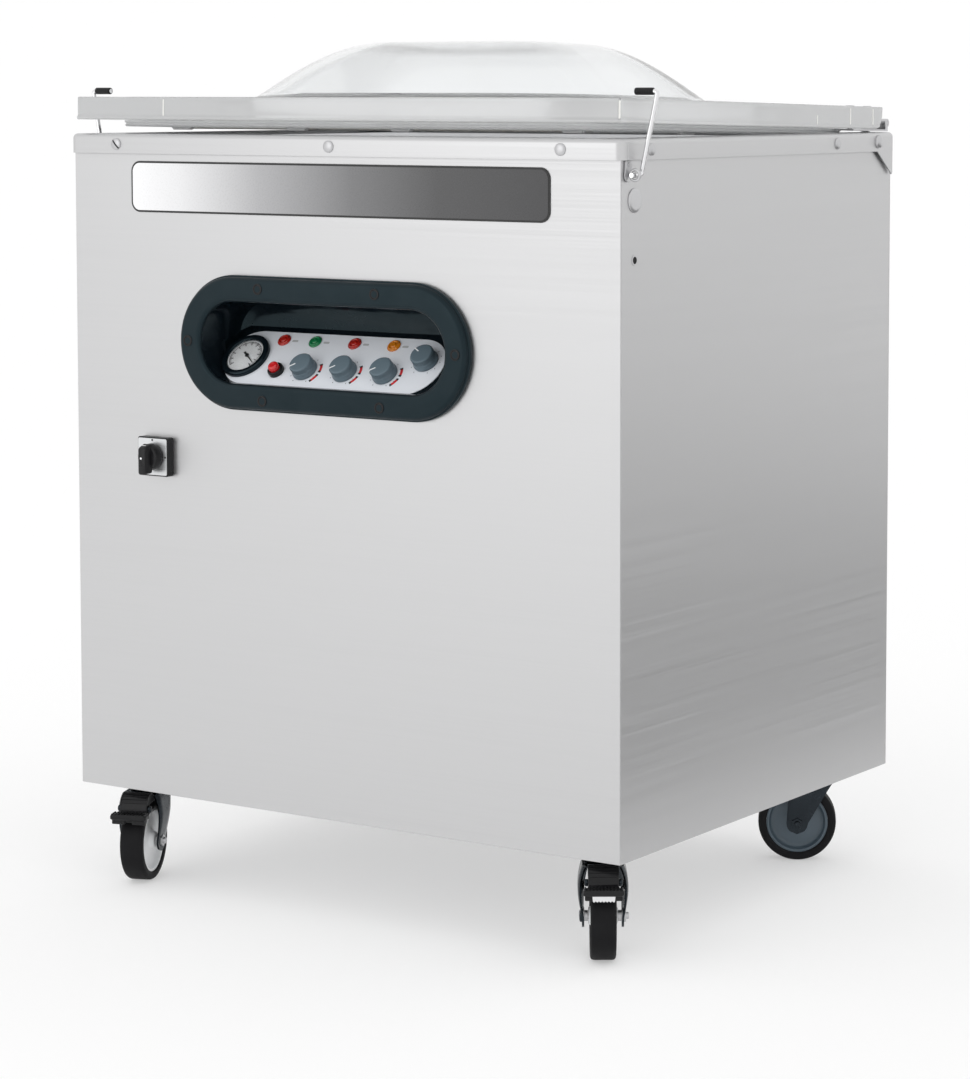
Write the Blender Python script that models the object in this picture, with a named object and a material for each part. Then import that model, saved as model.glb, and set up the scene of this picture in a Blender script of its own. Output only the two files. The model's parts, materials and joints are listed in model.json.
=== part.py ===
"""Floor-standing chamber vacuum packing machine, as separate named parts.

Units are metres, +Z is up and the front faces -Y. The origin is on the floor under
the middle of the machine's overall width and depth. Every part hangs from one empty,
whose own centre is the middle of the cabinet at floor level.
"""

import math

import bmesh
import bpy
from mathutils import Matrix, Vector

# ---------------------------------------------------------------- driving dimensions
BODY_W = 0.800  # cabinet, outside the side panels
BODY_D = 0.650  # cabinet, outside the front and rear panels
BODY_H = 0.793  # cabinet floor to the lower edge of the top cover
CASTER_H = 0.120  # floor to the underside of the cabinet
SKIRT_H = 0.024  # height of the top cover's skirt
SKIRT_OVERHANG = 0.0045
SHEET = 0.0015  # sheet steel
GAP = 0.0003  # between pieces that touch
CABINET_Y = 0.00923  # cabinet centre, from the middle of the overall depth

HALF_W = BODY_W / 2
HALF_D = BODY_D / 2
SKIRT_Z = CASTER_H + BODY_H
DECK_Z = SKIRT_Z + SKIRT_H

# Chamber opening, seal and deck: distance in from the cabinet sides and front.
DECK_INSET = 0.034
SEAL_INSET = 0.0365
SEAL_WIDTH = 0.014
SEAL_CORNER = 0.024
TUB_INSET = 0.062
REAR_INSET = 0.012  # the same outlines stop this much further in at the rear
FLANGE_DROP = 0.005  # tub flange below the deck
TUB_DEPTH = 0.130

# Lid, modelled closed and then turned about its hinge to the rest angle.
LID_REST_DEG = 1.22
LID_GAP = 0.0035  # closed lid above the deck
LID_THICK = 0.028
LID_REAR_Y = HALF_D - 0.017
DOME_H = 0.073
DOME_WALL = 0.005
DOME_CENTRE_Y = -0.015
DOME_BASE = (0.260, 0.210, 0.120)  # half width, half depth, corner radius
DOME_TOP = (0.120, 0.075, 0.050)
HINGE_Y = HALF_D + 0.0015
HINGE_Z = DECK_Z + 0.0115
HINGE_X = 0.380  # middle of each hinge leaf
BARREL_R = 0.0055
PIN_R = 0.0025

# Control recess in the front panel.
BEZEL_X, BEZEL_Z = -0.010, CASTER_H + 0.5665
BEZEL_HALF = (0.2130, 0.0825)
OPENING_HALF = (0.1840, 0.0545)
BEZEL_PROUD = 0.013
RECESS_DEPTH = 0.068
MOULDED_WALL = 0.003
PANEL_TILT = math.radians(45)
PANEL_SIZE = (0.326, 0.086, 0.002)
PANEL_X = -0.022

# Panel fittings: (across from the panel's middle, up from its lower edge).
GAUGE_AT = (-0.1310, 0.0433)
LAMPS_AT = ((-0.0912, 0.0725), (-0.0440, 0.0725), (0.0150, 0.0728), (0.0730, 0.0728))
BUTTON_AT = (-0.0766, 0.0239)
KNOBS_AT = ((-0.0355, 0.0282), (0.0235, 0.0288), (0.0825, 0.0292), (0.1303, 0.0520))

# Main switch on the front panel.
SWITCH_X, SWITCH_Z = -0.270, CASTER_H + 0.422
SWITCH_SIDE = 0.048

# Lid latches near the front of both sides. The left one stands further back.
EYE_Y = {"left": -0.2638, "right": -0.3118}
EYE_Z = CASTER_H + 0.7766
EYE_X = HALF_W + 0.0105
HOOK_RISE = 0.0928
HOOK_LEAN = 0.0195
HOOK_SETBACK = 0.016
GRIP_LEN = 0.029
WIRE_R = 0.0026

# Casters: swivel axes, and how far each fork is turned from pointing at the front.
CASTER_X, CASTER_Y = 0.338, 0.263
CASTERS = (
    ("front_left", -CASTER_X + 0.002, -CASTER_Y - 0.0045, 21.0, True),
    ("front_right", CASTER_X + 0.0025, -CASTER_Y - 0.0045, 33.5, True),
    ("rear_left", -CASTER_X, CASTER_Y, -40.0, False),
    ("rear_right", CASTER_X, CASTER_Y, -61.0, False),
)
WHEEL_R = 0.050
TYRE_HALF = 0.015
RIM_R = 0.0395
TRAIL = 0.030
PEDAL_REACH = TRAIL + 0.009
AXLE_R = 0.004
FORK_INNER = 0.019
FORK_SHEET = 0.0025
CROWN_Z = 0.1060

STEEL = ("stainless", (0.62, 0.62, 0.62), 0.35, 1.0)
BLACK = ("black_plastic", (0.02, 0.022, 0.025), 0.45, 0.0)


# ---------------------------------------------------------------- helpers
def clear_scene():
    for obj in list(bpy.data.objects):
        bpy.data.objects.remove(obj, do_unlink=True)


def material(name, colour, roughness, metallic, alpha=1.0):
    mat = bpy.data.materials.new(name)
    mat.use_nodes = True
    shader = mat.node_tree.nodes["Principled BSDF"]
    shader.inputs["Base Color"].default_value = (*colour, 1.0)
    shader.inputs["Roughness"].default_value = roughness
    shader.inputs["Metallic"].default_value = metallic
    shader.inputs["Alpha"].default_value = alpha
    return mat


def empty(name, parent, location=(0, 0, 0), rotation=(0, 0, 0)):
    obj = bpy.data.objects.new(name, None)
    bpy.context.collection.objects.link(obj)
    obj.parent = parent
    obj.location = location
    obj.rotation_euler = rotation
    return obj


def add(name, bm, look, parent, location=(0, 0, 0), rotation=(0, 0, 0)):
    """Make a named object from a bmesh, with a material of its own."""
    bmesh.ops.remove_doubles(bm, verts=bm.verts, dist=1e-6)
    bmesh.ops.recalc_face_normals(bm, faces=bm.faces)
    mesh = bpy.data.meshes.new(name)
    bm.to_mesh(mesh)
    bm.free()
    mesh.shade_smooth()
    mesh.set_sharp_from_angle(angle=math.radians(35))
    mesh.materials.append(material(name + "_" + look[0], *look[1:]))
    obj = bpy.data.objects.new(name, mesh)
    bpy.context.collection.objects.link(obj)
    obj.parent = parent
    obj.location = location
    obj.rotation_euler = rotation
    return obj


def combine(obj, bm, operation, label):
    """Cut or join a hidden tool object, given in the same space as obj's own mesh."""
    tool = add(obj.name + "_" + label, bm, BLACK, obj.parent, obj.location, obj.rotation_euler)
    tool.hide_render = True
    tool.display_type = "WIRE"
    step = obj.modifiers.new(label, "BOOLEAN")
    step.operation = operation
    step.solver = "EXACT"
    step.object = tool


def rounded(x0, x1, y0, y1, radius, steps=5):
    """Outline of a rectangle with round corners, anticlockwise, as 2-D points."""
    points = []
    corners = ((x1, y1, 0), (x0, y1, 90), (x0, y0, 180), (x1, y0, 270))
    for x, y, start in corners:
        cx = x - math.copysign(radius, x - (x0 + x1) / 2)
        cy = y - math.copysign(radius, y - (y0 + y1) / 2)
        for i in range(steps + 1):
            angle = math.radians(start + 90 * i / steps)
            points.append((cx + radius * math.cos(angle), cy + radius * math.sin(angle)))
    return points


def flat(points, z):
    return [Vector((x, y, z)) for x, y in points]


def upright(points, y):
    return [Vector((x, y, z)) for x, z in points]


def loft(bm, rings, caps=True):
    """Skin rings of equal length. Without caps, the last ring joins the first."""
    rows = [[bm.verts.new(point) for point in ring] for ring in rings]
    count = len(rows[0])
    pairs = list(zip(rows, rows[1:]))
    if not caps:
        pairs.append((rows[-1], rows[0]))
    for low, high in pairs:
        for i in range(count):
            j = (i + 1) % count
            bm.faces.new((low[i], low[j], high[j], high[i]))
    if caps:
        bm.faces.new(list(reversed(rows[0])))
        bm.faces.new(rows[-1])
    return bm


def lathe(bm, profile, steps=24, matrix=None, turn=0.0):
    """Turn (radius, height) points about Z. A profile that leaves the axis is a ring."""
    solid = profile[0][0] == 0
    outer = profile[1:-1] if solid else profile
    rings = []
    for radius, height in outer:
        ring = []
        for i in range(steps):
            angle = math.tau * i / steps + turn
            ring.append(Vector((radius * math.cos(angle), radius * math.sin(angle), height)))
        rings.append(ring)
    if matrix is not None:
        rings = [[matrix @ point for point in ring] for ring in rings]
    return loft(bm, rings, caps=solid)


def block(bm, low, high, bevel=0.0):
    size = [b - a for a, b in zip(low, high)]
    middle = [(a + b) / 2 for a, b in zip(low, high)]
    matrix = Matrix.Translation(middle) @ Matrix.Diagonal((*size, 1))
    made = bmesh.ops.create_cube(bm, size=1, matrix=matrix)
    if bevel:
        edges = {edge for vert in made["verts"] for edge in vert.link_edges}
        bmesh.ops.bevel(bm, geom=list(edges), offset=bevel, segments=1, affect="EDGES")
    return bm


def prism(bm, outline, x0, x1):
    """A (y, z) outline given a thickness along X."""
    return loft(bm, [[Vector((x, y, z)) for y, z in outline] for x in (x0, x1)])


def along(axis_from, axis_to):
    """Matrix that puts a lathe's Z axis on the line between two points."""
    start = Vector(axis_from)
    run = Vector(axis_to) - start
    return Matrix.Translation(start) @ run.to_track_quat("Z", "Y").to_matrix().to_4x4()


def rod(bm, start, end, radius, steps=16):
    length = (Vector(end) - Vector(start)).length
    profile = [(0, 0), (radius, 0), (radius, length), (0, length)]
    return lathe(bm, profile, steps, along(start, end))


def inset_outline(inset, radius, grow=0.0):
    """Outline on the deck, inset from the cabinet and a little more at the rear."""
    x = HALF_W - inset + grow
    return rounded(-x, x, -HALF_D + inset - grow, HALF_D - inset - REAR_INSET + grow, radius)


# ---------------------------------------------------------------- cabinet
def base_tray(root):
    x = HALF_W - SHEET - GAP
    y = HALF_D - SHEET - GAP
    wall = 0.025
    low = rounded(-x, x, -y, y, 0.004, 1)
    inner = rounded(-x + SHEET, x - SHEET, -y + SHEET, y - SHEET, 0.003, 1)
    rings = [
        flat(low, CASTER_H),
        flat(low, CASTER_H + wall),
        flat(inner, CASTER_H + wall),
        flat(inner, CASTER_H + SHEET),
    ]
    add("base_tray", loft(bmesh.new(), rings), STEEL, root)


def front_panel(root):
    bm = block(bmesh.new(), (-HALF_W, -HALF_D, CASTER_H), (HALF_W, -HALF_D + SHEET, PANEL_TOP))
    panel = add("front_panel", bm, STEEL, root)
    a, b = OPENING_HALF[0] + MOULDED_WALL + 0.001, OPENING_HALF[1] + MOULDED_WALL + 0.001
    hole = rounded(BEZEL_X - a, BEZEL_X + a, BEZEL_Z - b, BEZEL_Z + b, b - 1e-4, 8)
    cutter = loft(bmesh.new(), [upright(hole, -HALF_D - 0.01), upright(hole, -HALF_D + 0.02)])
    combine(panel, cutter, "DIFFERENCE", "bezel_hole")


def side_panels(root):
    y = HALF_D - SHEET - GAP
    for side, sign in (("left", -1), ("right", 1)):
        x0, x1 = sorted((sign * HALF_W, sign * (HALF_W - SHEET)))
        bm = block(bmesh.new(), (x0, -y, CASTER_H), (x1, y, PANEL_TOP))
        add(side + "_panel", bm, STEEL, root)


def rear_panel(root):
    bm = block(bmesh.new(), (-HALF_W, HALF_D - SHEET, CASTER_H), (HALF_W, HALF_D, PANEL_TOP))
    panel = add("rear_panel", bm, STEEL, root)
    slots = bmesh.new()
    for column in (-0.16, 0.16):
        for row in range(7):
            z = CASTER_H + 0.16 + row * 0.022
            block(slots, (column - 0.09, HALF_D - 0.01, z), (column + 0.09, HALF_D + 0.01, z + 0.006))
    combine(panel, slots, "DIFFERENCE", "vents")


def top_cover(root):
    """Pressed cover: skirt, round edge, flat deck and a big opening."""
    out = SKIRT_OVERHANG
    edge = 0.006

    def outside(shrink, z):
        x, y = HALF_W + out - shrink, HALF_D + out - shrink
        return flat(rounded(-x, x, -y, y, 0.010 - min(shrink, 0.006)), z)

    rings = [outside(0, SKIRT_Z), outside(0, DECK_Z - edge)]
    for i in (1, 2, 3):
        angle = math.radians(30 * i)
        rings.append(outside(edge * (1 - math.cos(angle)), DECK_Z - edge * (1 - math.sin(angle))))
    rings.append(flat(inset_outline(DECK_INSET, 0.030), DECK_Z))
    rings.append(flat(inset_outline(DECK_INSET, 0.030), DECK_Z - FLANGE_DROP + GAP))
    rings.append(flat(inset_outline(DECK_INSET, 0.030, SHEET), DECK_Z - FLANGE_DROP + GAP))
    rings.append(flat(inset_outline(DECK_INSET, 0.030, SHEET), DECK_Z - SHEET))
    rings.append(outside(edge, DECK_Z - SHEET))
    rings.append(outside(SHEET, DECK_Z - edge))
    rings.append(outside(SHEET, SKIRT_Z))
    cover = add("top_cover", loft(bmesh.new(), rings, caps=False), STEEL, root)
    tabs = bmesh.new()
    reach = HALF_D + out - 0.012
    for sign in (-1, 1):
        outline = [(reach - 0.045, SKIRT_Z + 0.004), (reach, SKIRT_Z + 0.004), (reach, SKIRT_Z - 0.030)]
        x0, x1 = sorted((sign * (HALF_W + out), sign * (HALF_W + out - SHEET)))
        prism(tabs, outline, x0, x1)
    combine(cover, tabs, "UNION", "rear_tabs")


def chamber_tub(root):
    """Deep-drawn tank with a flat flange for the lid seal."""
    top = DECK_Z - FLANGE_DROP
    floor = top - TUB_DEPTH
    round_r = 0.012
    rings = [flat(inset_outline(TUB_INSET + 0.020, 0.040, SHEET), floor - SHEET)]
    rings.append(flat(inset_outline(TUB_INSET + 0.010, 0.050, SHEET), floor + 0.008))
    rings.append(flat(inset_outline(TUB_INSET + 0.004, 0.050, SHEET), top - round_r))
    rings.append(flat(inset_outline(TUB_INSET - round_r, 0.050, SHEET), top - SHEET))
    rings.append(flat(inset_outline(DECK_INSET - 0.012, 0.020), top - SHEET))
    rings.append(flat(inset_outline(DECK_INSET - 0.012, 0.020), top))
    rings.append(flat(inset_outline(TUB_INSET - 0.002, 0.050), top))
    rings.append(flat(inset_outline(TUB_INSET + 0.003, 0.050), top - 0.005))
    rings.append(flat(inset_outline(TUB_INSET + 0.010, 0.050), floor + 0.010))
    rings.append(flat(inset_outline(TUB_INSET + 0.022, 0.040), floor))
    add("chamber_tub", loft(bmesh.new(), rings), STEEL, root)


def filler_plate(root):
    floor = DECK_Z - FLANGE_DROP - TUB_DEPTH
    bm = loft(
        bmesh.new(),
        [flat(rounded(-0.300, 0.300, -0.190, 0.215, 0.02, 3), floor + z) for z in (GAP, 0.030)],
    )
    add("filler_plate", bm, ("polyethylene", (0.85, 0.85, 0.82), 0.55, 0.0), root)


def nameplate(root):
    outline = rounded(-0.308, 0.307, CASTER_H + 0.7215, CASTER_H + 0.784, 0.012, 4)
    y = -HALF_D - GAP
    bm = loft(bmesh.new(), [upright(outline, y), upright(outline, y - 0.0012)])
    add("nameplate", bm, ("printed_film", (0.35, 0.35, 0.35), 0.3, 0.0), root)


def hinge_brackets(root):
    for side, sign in (("left", -1), ("right", 1)):
        inner, outer = HINGE_X - 0.0245, HINGE_X + 0.014
        knuckle = HINGE_X - 0.0135
        plate_y = HALF_D + SKIRT_OVERHANG + GAP
        x0, x1 = sorted((sign * inner, sign * outer))
        bm = block(bmesh.new(), (x0, plate_y, DECK_Z - 0.052), (x1, plate_y + 0.003, DECK_Z - 0.002))
        bracket = add("hinge_bracket_" + side, bm, STEEL, root)
        x0, x1 = sorted((sign * inner, sign * knuckle))
        back = plate_y + 0.003
        outline = [(plate_y, DECK_Z - 0.006), (back, DECK_Z - 0.006), (back, HINGE_Z)]
        outline += [(HINGE_Y, HINGE_Z), (HINGE_Y, DECK_Z + 0.0005), (plate_y, DECK_Z + 0.0005)]
        arm = prism(bmesh.new(), outline, x0, x1)
        combine(bracket, arm, "UNION", "arm")
        ends = [(sign * x, HINGE_Y, HINGE_Z) for x in (inner, knuckle)]
        barrel = rod(bmesh.new(), *ends, BARREL_R)
        combine(bracket, barrel, "UNION", "barrel")
        pin = rod(
            bmesh.new(),
            (sign * (inner + 0.002), HINGE_Y, HINGE_Z),
            (sign * outer, HINGE_Y, HINGE_Z),
            PIN_R,
        )
        combine(bracket, pin, "UNION", "pin")


def power_inlet(root):
    """Panel-mounted mains inlet low on the rear, open at the back."""
    x, z, y = -0.300, CASTER_H + 0.085, HALF_D + GAP
    bm = bmesh.new()
    outer = [rounded(x - a, x + a, z - b, z + b, 0.003, 2) for a, b in ((0.030, 0.022), (0.022, 0.015))]
    socket = rounded(x - 0.0135, x + 0.0135, z - 0.0095, z + 0.0095, 0.003, 2)
    rings = [upright(outer[0], y), upright(outer[0], y + 0.003), upright(outer[1], y + 0.005)]
    rings += [upright(outer[1], y + 0.016), upright(socket, y + 0.016), upright(socket, y + 0.003)]
    add("power_inlet", loft(bm, rings), BLACK, root)


def internals(root):
    floor = CASTER_H + SHEET
    cast = ("cast_housing", (0.12, 0.16, 0.20), 0.5, 0.3)
    bm = block(bmesh.new(), (-0.07, -0.13, floor + 0.012), (0.15, 0.10, floor + 0.215), 0.012)
    pump = add("vacuum_pump", bm, cast, root)
    feet = bmesh.new()
    for x in (-0.04, 0.12):
        for y in (-0.10, 0.07):
            rod(feet, (x, y, floor + GAP), (x, y, floor + 0.02), 0.012, 12)
    combine(pump, feet, "UNION", "feet")
    motor = bmesh.new()
    profile = [(0, 0), (0.070, 0), (0.070, 0.185), (0.060, 0.200), (0, 0.200)]
    lathe(motor, profile, 24, along((-0.07 - GAP, -0.015, floor + 0.11), (-0.30, -0.015, floor + 0.11)))
    add("pump_motor", motor, ("motor_paint", (0.10, 0.13, 0.16), 0.5, 0.3), root)
    x = HALF_W - SHEET - 0.010
    board = block(bmesh.new(), (x - 0.002, -0.16, floor + 0.30), (x, 0.04, floor + 0.44))
    parts = add("control_board", board, ("circuit_board", (0.02, 0.20, 0.08), 0.4, 0.0), root)
    relays = bmesh.new()
    for row in range(3):
        z = floor + 0.315 + row * 0.040
        block(relays, (x - 0.022, -0.14, z), (x - 0.001, -0.08, z + 0.028))
    combine(parts, relays, "UNION", "relays")


# ---------------------------------------------------------------- lid
def dome_outline(u, shrink=0.0):
    a, b, r = (low + (high - low) * u for low, high in zip(DOME_BASE, DOME_TOP))
    a, b = a - shrink, b - shrink
    return rounded(-a, a, DOME_CENTRE_Y - b, DOME_CENTRE_Y + b, r)


def lid_parts(root):
    pivot = empty(
        "lid_pivot", root, (0, HINGE_Y, HINGE_Z), (-math.radians(LID_REST_DEG), 0, 0)
    )
    shift = (0, -HINGE_Y, -HINGE_Z)
    low = DECK_Z + LID_GAP
    top = low + LID_THICK
    steps = 8
    rings = []
    for i in range(steps, -1, -1):
        u = i / steps
        rings.append(flat(dome_outline(u, DOME_WALL), top + DOME_H * math.sin(u * math.pi / 2) - DOME_WALL))
    rings.append(flat(dome_outline(0, DOME_WALL), low))
    edge = 0.001
    for z, rear, inset in ((0, 0.016, edge), (edge, 0.013, 0), (0.012, 0.004, 0), (0.024, 0, 0)):
        half = HALF_W - inset
        outline = rounded(-half, half, -HALF_D + inset, LID_REAR_Y - rear, 0.006)
        rings.append(flat(outline, low + z))
    rings.append(flat(rounded(-HALF_W, HALF_W, -HALF_D, LID_REAR_Y, 0.006), top - edge))
    half = HALF_W - edge
    rings.append(flat(rounded(-half, half, -HALF_D + edge, LID_REAR_Y - edge, 0.005), top))
    for i in range(steps + 1):
        u = i / steps
        rings.append(flat(dome_outline(u), top + DOME_H * math.sin(u * math.pi / 2)))
    clear = ("clear_acrylic", (0.9, 0.92, 0.93), 0.05, 0.0, 0.35)
    add("lid", loft(bmesh.new(), rings), clear, pivot, shift)

    seal_low = DECK_Z - FLANGE_DROP + GAP
    inner = SEAL_INSET + SEAL_WIDTH
    rings = [
        flat(inset_outline(SEAL_INSET, SEAL_CORNER), seal_low),
        flat(inset_outline(SEAL_INSET, SEAL_CORNER), low - GAP),
        flat(inset_outline(inner, SEAL_CORNER - 0.010), low - GAP),
        flat(inset_outline(inner, SEAL_CORNER - 0.010), seal_low),
    ]
    rubber = ("silicone", (0.42, 0.42, 0.42), 0.6, 0.0)
    add("lid_seal", loft(bmesh.new(), rings, caps=False), rubber, pivot, shift)

    y = BAR_Y
    bm = block(bmesh.new(), (-0.300, y - 0.009, low - 0.010), (0.300, y + 0.009, low - GAP), 0.001)
    add("counter_bar", bm, ("white_silicone", (0.80, 0.80, 0.78), 0.6, 0.0), pivot, shift)

    for side, sign in (("left", -1), ("right", 1)):
        x0, x1 = sorted((sign * (HINGE_X - 0.013), sign * (HINGE_X + 0.014)))
        strip_z = DECK_Z + 0.001
        bm = block(bmesh.new(), (x0, HINGE_Y - 0.092, strip_z), (x1, HINGE_Y + 0.002, low - GAP))
        leaf = add("hinge_leaf_" + side, bm, STEEL, pivot, shift)
        web = block(bmesh.new(), (x0, HINGE_Y - 0.0045, strip_z + 0.001), (x1, HINGE_Y + 0.002, HINGE_Z))
        combine(leaf, web, "UNION", "web")
        barrel = rod(bmesh.new(), (x0, HINGE_Y, HINGE_Z), (x1, HINGE_Y, HINGE_Z), BARREL_R)
        combine(leaf, barrel, "UNION", "barrel")
        bore = rod(
            bmesh.new(), (x0 - 0.002, HINGE_Y, HINGE_Z), (x1 + 0.002, HINGE_Y, HINGE_Z), PIN_R + 0.0002
        )
        combine(leaf, bore, "DIFFERENCE", "bore")


def sealing_bar(root):
    """Heated bar inside the chamber, on two lift pins."""
    top = DECK_Z - 0.0150
    floor = DECK_Z - FLANGE_DROP - TUB_DEPTH
    bm = block(bmesh.new(), (-0.300, BAR_Y - 0.010, top - 0.028), (0.300, BAR_Y + 0.010, top), 0.001)
    bar = add("sealing_bar", bm, ("bar_aluminium", (0.72, 0.72, 0.73), 0.35, 1.0), root)
    pins = bmesh.new()
    for x in (-0.22, 0.22):
        rod(pins, (x, BAR_Y, floor + 0.0006), (x, BAR_Y, top - 0.014), 0.006, 12)
    combine(bar, pins, "UNION", "lift_pins")


# ---------------------------------------------------------------- controls
def below_slope(bm, drop):
    """Remove what lies under the sloping floor of the recess."""
    point = Vector((0, -HALF_D, BEZEL_Z - OPENING_HALF[1] - drop / math.cos(PANEL_TILT)))
    normal = Vector((0, -math.sin(PANEL_TILT), math.cos(PANEL_TILT)))
    geom = list(bm.verts) + list(bm.edges) + list(bm.faces)
    bmesh.ops.bisect_plane(bm, geom=geom, plane_co=point, plane_no=normal, clear_inner=True)
    rim = [edge for edge in bm.edges if edge.is_boundary]
    bmesh.ops.holes_fill(bm, edges=rim)
    return bm


def stadium(half_x, half_z):
    return rounded(
        BEZEL_X - half_x, BEZEL_X + half_x, BEZEL_Z - half_z, BEZEL_Z + half_z, half_z - 1e-4, 8
    )


def control_bezel(root):
    """Moulded flange with a deep recess whose floor slopes up at the panel's tilt."""
    a, b = BEZEL_HALF
    face = -HALF_D
    rings = [upright(stadium(a, b), face - GAP), upright(stadium(a, b), face - BEZEL_PROUD + 0.006)]
    rings.append(upright(stadium(a - 0.002, b - 0.002), face - BEZEL_PROUD + 0.002))
    rings.append(upright(stadium(a - 0.007, b - 0.007), face - BEZEL_PROUD))
    bezel = add("control_bezel", loft(bmesh.new(), rings), BLACK, root)
    a, b = OPENING_HALF[0] + MOULDED_WALL, OPENING_HALF[1] + MOULDED_WALL
    shell = [upright(stadium(a, b), y) for y in (face - 0.002, face + RECESS_DEPTH + MOULDED_WALL)]
    combine(bezel, below_slope(loft(bmesh.new(), shell), MOULDED_WALL), "UNION", "bucket")
    a, b = OPENING_HALF
    hollow = [upright(stadium(a + 0.004, b + 0.004), face - BEZEL_PROUD - 0.001)]
    hollow.append(upright(stadium(a, b), face - BEZEL_PROUD + 0.004))
    hollow.append(upright(stadium(a, b), face + RECESS_DEPTH))
    combine(bezel, below_slope(loft(bmesh.new(), hollow), 0.0), "DIFFERENCE", "recess")


def control_panel(root):
    """Sloping fascia in the recess, and everything that stands on it."""
    foot = Vector((PANEL_X, -HALF_D + 0.0022, BEZEL_Z - OPENING_HALF[1] + 0.0028))
    plane = empty("panel_plane", root, foot, (PANEL_TILT, 0, 0))
    width, height, thick = PANEL_SIZE
    outline = rounded(-width / 2, width / 2, 0, height, height / 2 - 1e-4, 10)
    bm = loft(bmesh.new(), [flat(outline, 0), flat(outline, thick)])
    fascia = add("control_panel", bm, ("silver_fascia", (0.80, 0.82, 0.86), 0.35, 0.2), plane)
    face = thick + GAP
    rim = [(0.0102, -0.001), (0.0102, 0.006), (0.0088, 0.008), (0.0074, 0.008), (0.0074, -0.001)]
    collar = Matrix.Translation((*BUTTON_AT, thick))
    combine(fascia, lathe(bmesh.new(), rim, 24, collar), "UNION", "button_collar")

    case = [(0.0335, 0), (0.0335, 0.005), (0.0305, 0.007), (0.0275, 0.007), (0.0270, 0.0025), (0, 0.0025)]
    bm = lathe(bmesh.new(), [(0, 0)] + case, 32)
    add("gauge_case", bm, BLACK, plane, (*GAUGE_AT, face))
    blade = ((-0.0015, -0.006), (0.0015, -0.006), (0.0006, 0.019), (-0.0006, 0.019))
    needle = [Vector((x, y, 0)) for x, y in blade]
    tip = [point + Vector((0, 0, 0.0006)) for point in needle]
    pointer = add(
        "gauge_needle",
        loft(bmesh.new(), [needle, tip]),
        BLACK,
        plane,
        (*GAUGE_AT, face + 0.0025 + 0.0008),
        (0, 0, math.radians(-127)),
    )
    boss = lathe(bmesh.new(), [(0, -0.0004), (0.0030, -0.0004), (0.0030, 0.0012), (0, 0.0012)], 12)
    combine(pointer, boss, "UNION", "boss")

    colours = (("red", (0.65, 0.03, 0.02)), ("green", (0.02, 0.35, 0.10)))
    colours += (("red", (0.65, 0.03, 0.02)), ("amber", (0.85, 0.35, 0.02)))
    dome = [(0, 0), (0.0078, 0), (0.0078, 0.0012), (0.0062, 0.0012)]
    dome += [(0.0062, 0.004), (0.0045, 0.0055), (0, 0.006)]
    for i, (at, (tint, colour)) in enumerate(zip(LAMPS_AT, colours), 1):
        look = (tint + "_lens", colour, 0.25, 0.0)
        add(f"lamp_{i}_{tint}", lathe(bmesh.new(), dome, 16), look, plane, (*at, face))

    cap = [(0, 0), (0.0068, 0), (0.0068, 0.0082), (0.0055, 0.0098), (0.0030, 0.0105), (0, 0.0107)]
    look = ("red_button", (0.70, 0.02, 0.02), 0.3, 0.0)
    add("stop_button", lathe(bmesh.new(), cap, 20), look, plane, (*BUTTON_AT, face + 0.0040))

    knob = [(0, 0), (0.0160, 0), (0.0160, 0.004), (0.0150, 0.0055)]
    knob += [(0.0146, 0.0145), (0.0136, 0.0155), (0, 0.0155)]
    turns = (-124, -124, -124, -60)
    for i, (at, turn) in enumerate(zip(KNOBS_AT, turns), 1):
        look = ("grey_knob", (0.16, 0.21, 0.26), 0.45, 0.0)
        dial = add(
            f"knob_{i}", lathe(bmesh.new(), knob, 24), look, plane, (*at, face), (0, 0, -math.radians(turn))
        )
        rib = block(bmesh.new(), (-0.0007, 0.004, 0.0140), (0.0007, 0.0142, 0.0160))
        combine(dial, rib, "UNION", "pointer")


def main_switch(root):
    half = SWITCH_SIDE / 2
    y = -HALF_D - GAP
    outer = rounded(SWITCH_X - half, SWITCH_X + half, SWITCH_Z - half, SWITCH_Z + half, 0.003, 2)
    inner = half - 0.0015
    face = rounded(SWITCH_X - inner, SWITCH_X + inner, SWITCH_Z - inner, SWITCH_Z + inner, 0.002, 2)
    rings = [upright(outer, y), upright(outer, y - 0.0100), upright(face, y - 0.0112)]
    add("switch_plate", loft(bmesh.new(), rings), ("switch_body", (0.03, 0.03, 0.03), 0.4, 0.0), root)
    front = Matrix.Rotation(math.radians(90), 4, "X")
    dial = [(0, 0), (0.0165, 0), (0.0165, 0.004), (0.0150, 0.010), (0, 0.011)]
    at = (SWITCH_X, y - 0.0112 - GAP, SWITCH_Z)
    knob = add("switch_knob", lathe(bmesh.new(), dial, 28, front), BLACK, root, at)
    sections = ((0.0065, -0.0195, 0.0165, -0.009), (0.0052, -0.0200, 0.0125, -0.0195))
    bar = loft(bmesh.new(), [upright(rounded(-h, h, low, high, 0.003, 3), d) for h, low, high, d in sections])
    combine(knob, bar, "UNION", "handle")


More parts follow.
